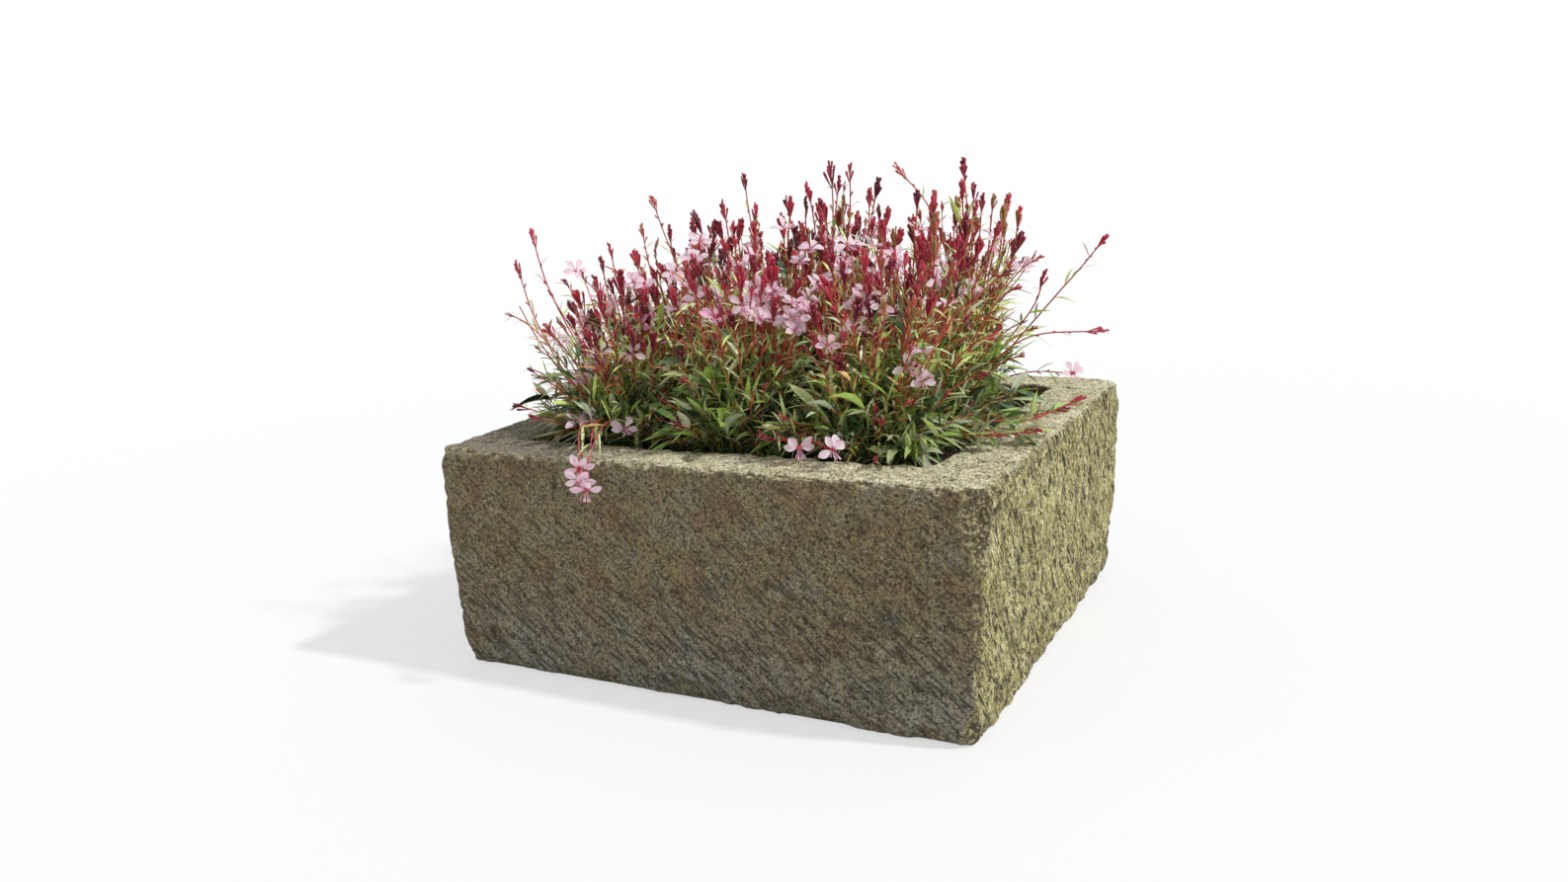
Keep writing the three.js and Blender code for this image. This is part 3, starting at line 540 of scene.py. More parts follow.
low_down = np.clip(1.35 - 1.9 * z / HEIGHT, 0.2, 1)
grooves = outside * (front * slanting(x, 1) * low_down + right_side * slanting(y, 2, STEEP_SLOPE)
                     + back * slanting(-x, 3) * 0.8 + left_side * slanting(-y, 4) * 0.8)
streaks = top * strokes(y + 0.15 * x, x, 0.016, 0.004, 0.06, 5) * 0.4
pits = (np.clip(lumps(rings, 0.012, 6) - 0.36, 0, 1) * 1.8
        + np.clip(lumps(rings, 0.0065, 7) - 0.4, 0, 1) * 1.4)
swell = lumps(rings, 0.13, 8) * 0.0022 + lumps(rings, 0.05, 9) * 0.0012
grain = lumps(rings, 0.017, 10) * 0.0006 + lumps(rings, 0.007, 11) * 0.0010
main = main_strokes(rings) * outside
print("deepest strokes:", round(float(main.max()) * 1000, 2), "mm")

# %% Chips along the arrises
RIM_CHIPS, FOOT_CHIPS = 150, 40
LARGE_CHIPS = [((0.350, 0.303, 0.281), 0.034, 0.008), ((-0.350, 0.303, 0.281), 0.026, 0.006),
               ((0.336, 0.303, 0.060), 0.05, 0.006), ((0.346, -0.303, 0.150), 0.02, 0.005)]

draw = np.random.default_rng(11).uniform
half_length, half_width = LENGTH / 2, WIDTH / 2
struck = []
for number in range(RIM_CHIPS):
    along = draw(-1, 1)
    corner_x = (1, -1, 1, -1)[number % 4] * half_length
    corner_y = (-1, -1, 1, 1)[number % 4] * half_width
    place = ((along * half_length, -half_width, HEIGHT), (half_length, along * half_width, HEIGHT),
             (along * half_length, half_width, HEIGHT), (-half_length, along * half_width, HEIGHT),
             (corner_x, corner_y, (along + 1) / 2 * HEIGHT),
             (along * half_length, -half_width + FRONT_WALL, HEIGHT))[number % 6]
    struck.append((place, draw(0.006, 0.019), draw(0.0015, 0.006)))
for number in range(FOOT_CHIPS):
    along = draw(-1, 1)
    place = ((along * half_length, -half_width, 0),
             (half_length - RIGHT_BATTER, along * half_width, 0))[number % 2]
    struck.append((place, draw(0.012, 0.034), draw(0.002, 0.0055)))

chips = np.zeros(rings.shape[:2])
for place, radius, depth in struck + LARGE_CHIPS:
    near = np.linalg.norm(rings - np.array(place), axis=-1) / radius
    chips = np.maximum(chips, depth * np.clip(1 - near * near, 0, 1) ** 1.5)
print("chips:", len(struck) + len(LARGE_CHIPS))

# %% Move the stone
crumble = 1 + 0.5 * lumps(rings, 0.007, 12)
moved = (swell + grain - GROOVE_DEPTH * grooves - main - STREAK_DEPTH * streaks - PIT_DEPTH * pits
         - chips * crumble)
inside = (np.arange(RINGS) > HOLLOW_START + 6)[:, None]
moved = np.where(inside, moved * 0.5, moved)
stone = rings + facing * moved[..., None]
print("the stone moves from", round(float(moved.min()) * 1000, 1),
      "to", round(float(moved.max()) * 1000, 1), "mm")

# %% Knocked stretches of the upright arrises
# Each is a side in X and in Y, its middle and length as shares of the height, its depth and its turn
KNOCK_DEPTH = 0.017
KNOCKS = [(1, -1, 0.93, 0.50, 0.52, 0.45), (1, -1, 0.05, 0.24, 0.55, 0.7), (-1, -1, 0.02, 0.26, 1.0, 1.0),
          (-1, -1, 0.98, 0.16, 0.6, 1.0), (1, 1, 0.98, 0.24, 0.9, 1.0), (-1, 1, 0.98, 0.20, 0.7, 1.0)]

knocked = np.zeros(rings.shape[:2])
left, right_edge, front_edge, back_edge = outer_box(z, 0)
for side_x, side_y, middle, long, deep, turned in KNOCKS:
    away_x = np.abs(right_edge - x if side_x > 0 else x - left)
    away_y = np.abs(back_edge - y if side_y > 0 else y - front_edge)
    away = turned * away_x + away_y
    blunt = 1.6 if turned < 1 else 1
    share = np.clip(blunt * (1 - np.abs(z / HEIGHT - middle) / (long / 2)), None, 1)
    bite = math.sqrt(2) * KNOCK_DEPTH * deep * share
    bite = bite * (1 + 0.25 * lumps(rings, 0.022, 13)) + 0.0015 * lumps(rings, 0.008, 14)
    cut = np.clip(bite - away, 0, None) / (1 + turned ** 2) * (np.arange(RINGS) < HOLLOW_START)[:, None]
    stone -= cut[..., None] * np.array([side_x * turned, side_y, 0.35 * (middle > 0.5)])
    knocked = np.maximum(knocked, cut)
print("deepest knock:", round(float(knocked.max()) * 1000 * math.sqrt(2), 1), "mm")

# %% Level the foot and the floor, and keep marks for the finish
stone[0, :, 2] = 0
stone[..., 2] = np.maximum(stone[..., 2], 0)
stone[-1, :, 2] = FLOOR
# Where painted shade goes: the grooves, pits and long strokes.
hollowed = np.clip(grooves + pits + main * 120 - 0.12, 0, 1)
# Where painted light and shade go on the grain: lighter above the middle, darker below it.
raised = np.clip(0.5 + grain * 260, 0, 1)
broken = np.clip(chips * 250 + knocked * 400, 0, 1)
print("the stone stands", round(float(stone[..., 2].max()) * 1000, 1), "mm tall")

# %% [markdown]
# The block still needs its underside and the floor of the hollow, both pierced by two drain holes.
# A boolean modifier could drill them, but it is slow on a dense mesh. Blender can also fill a flat
# outline round two circles with triangles, which gives clean edges for the walls of the holes.

# %% The underside, the floor of the hollow and the drain holes
HOLE_SIDES = 32


def hole_outlines(z):
    """The outlines of the two drain holes at a height."""
    turn = circle(HOLE_SIDES)
    return [np.column_stack([side * DRAIN_SPACING / 2 + DRAIN_RADIUS * np.cos(turn),
                             DRAIN_RADIUS * np.sin(turn), np.full(HOLE_SIDES, z)]) for side in (-1, 1)]


def pierced_sheet(outline, z, upward):
    """Triangles that fill an outline at one height round the two drain holes."""
    sheet = bmesh.new()
    edges = []
    for loop in [outline] + hole_outlines(z):
        verts = [sheet.verts.new(p) for p in loop]
        edges += [sheet.edges.new((verts[n - 1], verts[n])) for n in range(len(verts))]
    sheet.verts.index_update()
    bmesh.ops.triangle_fill(sheet, use_beauty=True, edges=edges, normal=(0, 0, 1 if upward else -1))
    found = [[v.index for v in face.verts] for face in sheet.faces]
    points = np.array([v.co for v in sheet.verts])
    for face in found:
        a, b, c = points[face]
        if (np.cross(b - a, c - a)[2] > 0) != upward:
            face.reverse()
    sheet.free()
    return found


total = RINGS * AROUND
holes_low, holes_high = total, total + 2 * HOLE_SIDES
points = np.concatenate([stone.reshape(-1, 3)] + hole_outlines(0) + hole_outlines(FLOOR))
faces = ring_faces(RINGS, AROUND).tolist()
for outline_start, holes_start, height, upward in (
        (0, holes_low, 0, False), ((RINGS - 1) * AROUND, holes_high, FLOOR, True)):
    outline = points[outline_start:outline_start + AROUND]
    for face in pierced_sheet(outline, height, upward):
        faces.append([v + outline_start if v < AROUND else v - AROUND + holes_start for v in face])
for n in range(2 * HOLE_SIDES):
    after = n + 1 if (n + 1) % HOLE_SIDES else n + 1 - HOLE_SIDES
    faces.append([holes_low + after, holes_low + n, holes_high + n, holes_high + after])
print("the block has", len(faces), "faces")

# %% [markdown]
# ## Finish of the sandstone
# Weathered sandstone is a mix of quartz grains, clay and iron, so it has no one colour. It is
# olive brown where lichen film covers it, greyer near the ground where it stays damp, and paler
# and yellower on the side and the top that face the sun: partly bleached, and partly painted
# sunlight. The finish reads which way a face looks and how high a spot is, then adds grain, lichen
# and pits, painted light and shade on the grain, and painted shade in the hollows, pits and knocks.
# Only what is smaller than the mesh is left to relief in the shader.

# %% Colours of the stone
def stone_colours(mix, mottle, sunny, upward):
    """Olive brown in the shade, grey where it stays damp, paler where it faces the sun (partly bleached,
    partly painted sunlight), with a painted shadow over the left end of the rim.
    """
    place_x, _, place_z = mix.parts(mix.place)
    body = mix.shades(mottle, [
        (0.32, 128, 102, 68), (0.46, 138, 120, 88), (0.56, 140, 130, 94), (0.68, 142, 134, 118)])
    damp = mix.stretch(place_z, 0.0, 0.14, 1, 0)
    damp = mix.times(damp, mix.stretch(mix.clouds(0.09, 2), 0.3, 0.6, 0.4, 1))
    body = mix.blend(mix.times(damp, 0.85), body, tone(158, 154, 142))

    patches = mix.clouds(0.03, 5, 0.7)
    # The side that faces the sun is painted paler: partly bleaching, partly painted sunlight.
    body = mix.blend(sunny, body, mix.shades(patches, [
        (0.34, 160, 148, 96), (0.5, 192, 182, 124), (0.66, 214, 206, 156)]))
    # The top is painted paler too: partly bleaching, partly painted sunlight.
    body = mix.blend(upward, body, mix.shades(patches, [
        (0.3, 196, 187, 149), (0.5, 227, 219, 180), (0.68, 238, 232, 204)]))
    bedding = mix.stretch(mix.clouds(0.006, 3, 0.6, (0.12, 1, 1)), 0.52, 0.66, 0, 0.6)
    body = mix.blend(mix.times(upward, bedding), body, tone(140, 128, 98))
    # Painted shadow of the plants over the left end of the rim.
    left_rim_painted_shadow = mix.sum("ADD", place_x, mix.times(mix.clouds(0.05, 3), 0.16))
    left_rim_painted_shadow = mix.stretch(left_rim_painted_shadow, -0.13, 0.03, 0.95, 0)
    return mix.blend(mix.times(left_rim_painted_shadow, upward), body, tone(136, 126, 110))


# %% Lichen and grains of the stone
def stone_grains(mix, body, sunny, hollow, raised):
    """Lichen, grains, quartz, dark specks, painted light and shade on the raised and sunken grain, and
    painted shade in the hollows of the surface.
    """
    lichen = mix.stretch(mix.clouds(0.018, 5, 0.7), 0.56, 0.68, 0, 0.55)
    body = mix.blend(mix.times(lichen, mix.stretch(sunny, 0, 1, 0.5, 1)), body, tone(150, 150, 78))
    grainy = mix.stretch(mix.clouds(0.0030, 3, 0.8), 0.38, 0.62, 0.38, 1.66)
    body = mix.blend(1, body, grainy, "MULTIPLY")
    # Painted light on the raised grain and painted shade on the sunken grain.
    body = mix.blend(1, body, mix.stretch(raised, 0, 1, 0.86, 1.14), "MULTIPLY")
    quartz = mix.stretch(mix.clouds(0.0034, 2, 0.5), 0.66, 0.71, 0, 0.75)
    body = mix.blend(quartz, body, tone(214, 208, 196))
    specks = mix.stretch(mix.clouds(0.0052, 3, 0.7), 0.36, 0.43, 0.8, 0)
    body = mix.blend(specks, body, tone(62, 52, 38))
    # Painted shade in the grooves, pits and strokes, stronger on the side that faces the sun.
    return mix.blend(mix.times(hollow, mix.stretch(sunny, 0, 1, 0.5, 0.75)), body, tone(60, 52, 36))


# %% Pits and fine strokes of the stone
def stone_pits(mix, sunny, upward):
    """Where the stone is pitted or finely struck: 1 in a pit, 0 between them."""
    place_z = mix.parts(mix.place)[2]
    front = mix.stretch(mix.dashes(0.0038, (7, 1, 1), (0, SLOPE, 0)), 0.36, 0.50, 1, 0)
    front = mix.times(front, mix.stretch(place_z, 0.08, 0.25, 0.8, 0.4))
    side = mix.stretch(mix.dashes(0.0036, (1, 5.5, 1), (-STEEP_SLOPE, 0, 0)), 0.38, 0.46, 0.95, 0)
    shady = mix.sum("SUBTRACT", 1.0, sunny)
    struck = mix.sum("ADD", mix.times(front, shady), mix.times(side, sunny))
    struck = mix.times(struck, mix.sum("SUBTRACT", 1.0, upward))
    pocks = mix.sum("MAXIMUM", mix.pocks(0.0052, 0.3, 0.36), mix.pocks(0.014, 0.35, 0.2))
    return mix.sum("MAXIMUM", struck, mix.times(pocks, 0.8))


# %% Sandstone
def sandstone():
    """Weathered sandstone: mottled, grainy and lichened, paler towards the sun from bleaching and painted
    sunlight, with painted shade in its pits, strokes, hollows and knocks.
    """
    mix = Finish("sandstone")
    facing_x, _, facing_z = mix.parts(mix.add("ShaderNodeNewGeometry").outputs["True Normal"])
    hollow, raised, broken = mix.marks()
    mottle = mix.clouds(0.045, 4, 0.7)
    sunny, upward = mix.stretch(facing_x, 0.35, 0.8), mix.stretch(facing_z, 0.45, 0.85)

    body = stone_colours(mix, mottle, sunny, upward)
    body = stone_grains(mix, body, sunny, hollow, raised)
    pitted = stone_pits(mix, sunny, upward)
    # Painted shade in the pits and fine strokes.
    body = mix.blend(pitted, body, tone(54, 46, 35))
    # Painted shade on the knocks and chips, less on the top.
    body = mix.blend(mix.times(broken, mix.stretch(upward, 0, 1, 0.8, 0.2)), body, tone(84, 72, 50))
    chipped = mix.times(broken, mix.stretch(mix.clouds(0.0045, 3, 0.7), 0.52, 0.6))
    body = mix.blend(mix.times(chipped, 0.85), body, tone(206, 196, 146))

    fine = mix.sum("ADD", mix.clouds(0.0026, 3, 0.7), mix.times(mix.clouds(0.007, 3), 0.9))
    fine = mix.sum("SUBTRACT", fine, mix.times(pitted, 0.5))
    return mix.finish(body, mix.relief(fine, 0.004), mix.stretch(mottle, 0.3, 0.7, 0.84, 0.97))


stone_marks = np.zeros((len(points), 3))
stone_marks[:total] = np.stack([hollowed, raised, broken], axis=-1).reshape(-1, 3)
new_piece("trough_stonework", points, faces, sandstone(), ["stone_trough"], stone_marks,
          round_to=55)

# %% [markdown]
# ## What lies under the plants
# Out of sight, the trough holds what every planted trough needs: a shard of a clay pot over each
# drain hole, a bed of gravel, a filter fleece that keeps the soil out of the gravel, and compost.
# The shards keep their CAD shape and get a fired clay finish. The gravel and the compost are
# rebuilt with lumps, because a smooth block of gravel looks wrong as soon as the soil is lifted out.

# %% Fired clay shards
def fired_clay():
    """Broken terracotta: sandy, paler where lime has come out, darker where it is damp."""
    mix = Finish("terracotta")
    body = mix.shades(mix.clouds(0.02, 4), [(0.3, 150, 84, 58), (0.55, 178, 104, 74), (0.75, 196, 140, 112)])
    body = mix.blend(mix.stretch(mix.clouds(0.0015, 2), 0.35, 0.5, 0.5, 0), body, tone(104, 56, 40))
    return mix.finish(body, mix.relief(mix.clouds(0.002, 3), 0.0006))


clay = fired_clay()
for name in ("crock_left", "crock_right"):
    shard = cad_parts[name]
    shard.material_slots[0].material = clay
    worn_edge = shard.modifiers.new("worn_edge", "BEVEL")
    worn_edge.width = 0.0008
    worn_edge.segments = 2
print("two shards are finished in clay")

# %% [markdown]
# A bed of loose stuff is a lidded shape: its sides follow the hollow and its top is a field of
# bumps. One function builds both the gravel and the compost from rings that shrink towards the
# middle. Cells of random height, rather than soft noise, give the tops their pebbles and crumbs.

# %% Beds of gravel and compost
def scattered_heights(points, size, seed):
    """Rounded pebbles or crumbs about this wide: 1 at the middle of each, 0 in the gaps."""
    cell = np.floor(points[:, :2] / size)
    best = np.full(len(points), 9.0)
    lift = np.zeros(len(points))
    for step in np.ndindex(3, 3):
        near = cell + np.array(step) - 1
        mixed = np.sin(near @ np.array([12.9898, 78.233]) + seed) * 43758.5453
        shift = np.stack([mixed % 1, (mixed * 7.31) % 1], axis=1)
        far = np.linalg.norm(points[:, :2] / size - near - shift, axis=1)
        closer = far < best
        best = np.where(closer, far, best)
        lift = np.where(closer, (mixed * 3.77) % 1, lift)
    return np.sqrt(np.clip(1 - best * best * 1.6, 0, 1)) * (0.45 + 0.55 * lift)


def shrunk(outline, shares):
    """Smaller copies of an outline, drawn in towards the middle of the hollow."""
    return [HOLLOW_MIDDLE + (outline - HOLLOW_MIDDLE) * (share, share, 1) for share in shares]


def bed(levels, gap, top_rings, counts, bumps):
    """Rings up the sides of a bed and in over its top, closed in the middle at both ends."""
    side = [hollow_ring(z, gap, counts) for z in levels]
    under = shrunk(side[0], (0.02, 0.5))
    grid = np.array(under + side + shrunk(side[-1], np.linspace(1, 0.004, top_rings)[1:]))
    for number in range(len(under) + len(side) - 1, len(grid)):
        grid[number, :, 2] += bumps(grid[number])
    return grid.reshape(-1, 3), capped_faces(*grid.shape[:2])


# %% [markdown]
# ### Gravel
# Drainage gravel is rounded river stone, here about 10 mm across, in greys and buffs.

# %% Gravel
GRAVEL_LEVELS = (0.0703, 0.074, 0.079, 0.086, 0.096, 0.103)
PEBBLE_SIZE, PEBBLE_HEIGHT = 0.010, 0.0055
BED_COUNTS = (56, 48, 56, 48)


def river_gravel():
    """Rounded pebbles, each with its own grey or buff, with painted shade in the gaps between them."""
    mix = Finish("river_gravel", 0.75)
    body = mix.shades(mix.drawn(PEBBLE_SIZE), [
        (0.1, 96, 92, 86), (0.4, 140, 132, 118), (0.7, 164, 150, 124), (0.95, 186, 180, 170)])
    # Painted shade in the gaps between the pebbles.
    body = mix.blend(mix.stretch(mix.cells(PEBBLE_SIZE), 0.42, 0.62, 0, 0.8), body, tone(48, 44, 38))
    return mix.finish(body, mix.relief(mix.clouds(0.002, 3), 0.0004))


points, faces = bed(GRAVEL_LEVELS, 0.0003, 34, BED_COUNTS,
                    lambda p: -0.003 + PEBBLE_HEIGHT * scattered_heights(p, PEBBLE_SIZE, 3))
new_piece("gravel_bed", points, faces, river_gravel(), ["drainage_gravel"])

# %% [markdown]
# ### Filter fleece
# The fleece is a sheet of grey felt, laid over the gravel and turned up a little against the
# walls. A cloth simulation could settle it, but it carries the soil and so lies flat on the stones.
# It is made as one sheet whose outline follows the hollow, with small ripples where it is turned
# up, and a modifier gives it its 1.6 mm of thickness.

# %% Fleece
FLEECE_LOW, FLEECE_UPSTAND, FLEECE_THICKNESS, FLEECE_GAP = 0.1073, 0.026, 0.0016, 0.0016
FLEECE_COUNTS = (60, 52, 60, 52)


def felt():
    """Needled grey felt: short crossed fibres, darker where soil has worked in."""
    mix = Finish("grey_felt", 1.0)
    fibres = mix.clouds(0.0016, 3, 0.7, (1, 6, 1))
    crossed = mix.clouds(0.0016, 3, 0.7, (6, 1, 1))
    woven = mix.sum("MAXIMUM", fibres, crossed)
    body = mix.shades(woven, [(0.35, 128, 128, 122), (0.65, 190, 190, 184)])
    body = mix.blend(mix.stretch(mix.clouds(0.04), 0.45, 0.7, 0, 0.5), body, tone(96, 84, 68))
    mix.shader.inputs["Sheen Weight"].default_value = 0.2
    return mix.finish(body, mix.relief(woven, 0.0005))


foot = hollow_ring(FLEECE_LOW, FLEECE_GAP, FLEECE_COUNTS)
flat_rings = shrunk(foot, (0.004, 0.12, 0.25, 0.38, 0.5, 0.62, 0.74, 0.84, 0.92, 0.97)) + [foot]
for rise in (0.25, 0.5, 0.75, 1):
    wall = hollow_ring(FLEECE_LOW + FLEECE_UPSTAND * rise, FLEECE_GAP, FLEECE_COUNTS)
    inward = HOLLOW_MIDDLE - wall
    inward[:, 2] = 0
    inward /= np.linalg.norm(inward, axis=1, keepdims=True)
    ripple = 0.0006 * (1 + np.sin(np.arange(len(wall)) * 0.9)) * rise
    flat_rings.append(wall + inward * ripple[:, None])
fleece_grid = np.array(flat_rings)
faces = capped_faces(*fleece_grid.shape[:2])[:-1]
fleece = new_piece("fleece_sheet", fleece_grid.reshape(-1, 3), faces, felt(), ["filter_fleece"])
thick = fleece.modifiers.new("thickness", "SOLIDIFY")
thick.thickness = FLEECE_THICKNESS
thick.offset = 0

# %% The outline of the hollow at the level of the fleece
left, right_edge, front_edge, back_edge = hollow_box(FLEECE_LOW, FLEECE_GAP)

# %% [markdown]
# ### Compost
# The compost shows only as dark gaps between the stems, and at the back right corner where no
# plant fills the hollow. It is nearly black, crumbly, and full of bits of bark.

# %% Compost
SOIL_LEVEL, SOIL_MOUND = 0.254, 0.007
SOIL_LEVELS = (0.1095, 0.112, 0.14, 0.19, SOIL_LEVEL - SOIL_MOUND - 0.003)
SOIL_COUNTS = (70, 60, 70, 60)
CRUMB_SIZE, CRUMB_HEIGHT = 0.009, 0.0055


def compost():
    """Dark damp compost with paler fibres and bits of bark."""
    mix = Finish("compost", 0.95)
    body = mix.shades(mix.clouds(0.008, 5, 0.7), [(0.35, 26, 20, 15), (0.55, 48, 37, 27), (0.72, 76, 58, 40)])
    body = mix.blend(mix.stretch(mix.cells(0.007), 0.12, 0.2, 0.5, 0), body, tone(96, 72, 48))
    return mix.finish(body, mix.relief(mix.clouds(0.004, 4, 0.7), 0.002))


dark_compost = compost()
points, faces = bed(SOIL_LEVELS, 0.0026, 44, SOIL_COUNTS, lambda p: (
    0.0008 + 0.003 * lumps(p, 0.05, 21) + CRUMB_HEIGHT * scattered_heights(p, CRUMB_SIZE, 5)))
new_piece("compost_bed", points, faces, dark_compost, ["potting_soil"])

# %% [markdown]
# ## Gaura, a plant of many slender stems
# Each plant is a clump of thirty thin upright stems among a crowd of leafy shoots. Narrow leaves
# climb them all, and every upright stem ends in a spike of crimson buds. Flowers with four petals
# open a few at a time below the buds. Blender's hair and geometry nodes could scatter ready-made
# leaves, but a spike of gaura is ordered: buds and leaves turn round the stem by a fixed angle. So
# the paths of the stems are worked out first, and everything else is placed along them.

# %% Where the plants stand
ROWS, COLUMNS, PLANTED_SHARE, MIDDLE_ROW = 3, 3, 0.91, 1.02
PITCH_X = (LENGTH - 2 * SIDE_WALL) / COLUMNS * PLANTED_SHARE
PITCH_Y = (WIDTH - FRONT_WALL - BACK_WALL) / ROWS * PLANTED_SHARE
ROW_HEIGHTS, COLUMN_HEIGHTS = (0.80, 0.90, 0.99), (0.88, 1.0, 0.98)
ROW_NAMES, COLUMN_NAMES = ("front", "middle", "back"), ("left", "centre", "right")
STEM_HEIGHT, CLUMP, FAN = 0.318, 0.0336, 0.14
GOLDEN_SHARE = (math.sqrt(5) - 1) / 2
GOLDEN_ANGLE = 2 * math.pi * (1 - GOLDEN_SHARE)

plants = [SimpleNamespace(
    name=f"gaura_{ROW_NAMES[row]}_{COLUMN_NAMES[column]}", number=row * COLUMNS + column,
    x=(column - MIDDLE_ROW) * PITCH_X, y=(row - MIDDLE_ROW) * PITCH_Y + HOLLOW_MIDDLE[1],
    tall=ROW_HEIGHTS[row] * COLUMN_HEIGHTS[column],
    outer=(column - 1, row - 1) if (row, column) != (2, 2) else (0, 0),
) for row in range(ROWS) for column in range(COLUMNS)]
print("plants:", ", ".join(plant.name for plant in plants))

# %% [markdown]
# ### One builder for all slender forms
# Stems, leaves, buds, petals and stamens are all slender forms: a small cross-section carried
# along a path, wider here and narrower there. A curve with a bevel could make one of them, but not
# ten thousand. The builder below works on all paths of a kind at once. It also stores three marks
# on each point, which the finishes read later: how far along the form the point lies, how near its
# middle line, and a random tone for the whole form.

# %% The builder
LEAF_SECTION = np.array([(1, 1), (0, 0.15), (-1, 1), (0, -0.3)])
BUD_SECTION = np.array([(1, 0), (0, 1), (-1, 0), (0, -1)])
STEM_SECTION = np.array([(math.cos(a), math.sin(a)) for a in circle(5)])
PETAL_SECTION = np.array([(1, 0.34), (0.5, 0.08), (0, 0.02), (-0.5, 0.08), (-1, 0.34), (-0.5, 0.0),
                          (0, -0.06), (0.5, 0.0)])


def unit(vectors):
    """The same directions with a length of one."""
    return vectors / np.maximum(np.linalg.norm(vectors, axis=-1, keepdims=True), 1e-9)


class Growth:
    """Slender forms of one kind on one plant, gathered into a single mesh."""

    def __init__(self):
        self.points, self.faces, self.marks, self.count = [], [], [], 0

    def sweep(self, paths, widths, depths, side, section, tones):
        """Carries a section along many paths. Each form has as many widths as its path has steps."""
        forms, steps = paths.shape[:2]
        around = len(section)
        if forms == 0:
            return
        ahead = unit(np.gradient(paths, axis=1))
        side = np.broadcast_to(np.asarray(side, float), (forms, 3))[:, None]
        across = unit(side - ahead * np.sum(side * ahead, axis=-1, keepdims=True))
        through = np.cross(ahead, across)
        reach_across = (widths[..., None] * section[:, 0])[..., None]
        reach_through = (depths[..., None] * section[:, 1])[..., None]
        points = paths[:, :, None] + across[:, :, None] * reach_across + through[:, :, None] * reach_through
        first = self.count + np.arange(forms)[:, None, None] * steps * around
        quads = first + ring_faces(steps, around)[None]
        self.faces += quads.reshape(-1, 4).tolist()
        ring_of = np.arange(around)
        self.faces += (first[:, 0] + ring_of[::-1]).tolist()
        self.faces += (first[:, 0] + (steps - 1) * around + ring_of).tolist()
        along = np.broadcast_to(np.linspace(0, 1, steps)[None, :, None], (forms, steps, around))
        middle = np.broadcast_to(1 - np.abs(section[:, 0])[None, None], (forms, steps, around))
        own = np.broadcast_to(np.asarray(tones, float).reshape(-1, 1, 1), (forms, steps, around))
        self.points.append(points.reshape(-1, 3))
        self.marks.append(np.stack([along, middle, own], axis=-1).reshape(-1, 3))
        self.count += forms * steps * around

    def piece(self, name, material, slot, node, round_to):
        """Makes the gathered forms into one piece of the plant."""
        return new_piece(name, np.concatenate(self.points), self.faces, material, [node],
                         np.concatenate(self.marks), round_to)


for plant in plants:
    plant.stems, plant.leaves, plant.buds, plant.flowers = Growth(), Growth(), Growth(), Growth()
print("every plant can take stems, leaves, buds and flowers")

# %% [markdown]
# ### The paths of the stems
# The stems of a clump start close together and lean outwards like the sticks of a fan. A spiral of
# golden angles spreads them evenly, as in the CAD model, whose thirteen upright stems per plant are
# the first of the ones made here. A slow sideways sway keeps them from looking like wires.

# %% Paths of upright stems
STEMS_A_PLANT, CAD_STEMS, STEM_STEPS = 30, 13, 14
STEM_SUNK, SHOOT_SUNK = 0.004, 0.003
SWAY = 0.006
draw = np.random.default_rng(5).uniform


def feet(plant, u, v, sunk):
    """Where stems start, a little below the soil, in a clump at the middle of a plant."""
    return np.stack([plant.x + u * CLUMP, plant.y + v * CLUMP, 0 * u + SOIL_LEVEL - sunk], axis=1)


def bent(base, knee, tip, steps):
    """Paths that start towards a knee and bend over towards their tip."""
    t = np.linspace(0, 1, steps)[:, None]
    base, knee, tip = base[..., None, :], knee[..., None, :], tip[..., None, :]
    return (1 - t) ** 2 * base + 2 * t * (1 - t) * knee + t * t * tip


def stem_paths(plant, numbers):
    """The paths of a plant's upright stems from inside its crown to their tips."""
    out = np.sqrt((numbers * 0.7548776662 + 0.25) % 1)
    turn = numbers * GOLDEN_ANGLE + np.where(numbers < CAD_STEMS, 0, plant.number)
    u, v = out * np.cos(turn), out * np.sin(turn)
    drawn = chance(numbers, plant.number)
    share = np.where(numbers < CAD_STEMS, 0.84 + 0.24 * drawn, 0.60 + 0.40 * drawn)
    height = STEM_HEIGHT * plant.tall * (1 - 0.2 * out * out) * share
    fan = 1 + FAN * height / STEM_HEIGHT
    base = feet(plant, u, v, STEM_SUNK)
    tip = np.stack([(plant.x + u * PITCH_X / 2) * fan, (plant.y + v * PITCH_Y / 2) * fan,
                    SOIL_LEVEL + height], axis=1)
    knee = base + (tip - base) * 0.42
    knee[:, 2] = SOIL_LEVEL + height * 0.56
    return bent(base, knee, tip, STEM_STEPS)


def sway(paths):
    """Bends paths a little from side to side, more towards their tips."""
    forms, steps = paths.shape[:2]
    t = np.linspace(0, 1, steps)[None, :]
    for axis in (0, 1):
        waves = draw(0.8, 1.9, (forms, 1))
        start = draw(0, 2 * math.pi, (forms, 1))
        swing = SWAY * t * np.sin(start + 2 * math.pi * waves * t)
        paths[..., axis] += swing * draw(0.3, 1, (forms, 1))
    return paths


# %% Places along the paths
def at(paths, which, share):
    """Points along some of the paths, and the directions in which the paths run there."""
    steps = paths.shape[1]
    place = np.clip(share, 0, 1) * (steps - 1)
    low = np.minimum(np.floor(place).astype(int), steps - 2)
    part = (place - low)[:, None]
    start, end = paths[which, low], paths[which, low + 1]
    return start + (end - start) * part, unit(end - start)


def spaced(paths, each, low, high, loose):
    """Loosely spaced places on every path: which path, how far along, and the point and direction."""
    which = np.repeat(np.arange(len(paths)), each)
    share = np.tile(np.linspace(low, high, each), len(paths)) + draw(-loose, loose, len(which))
    return which, share, *at(paths, which, share)


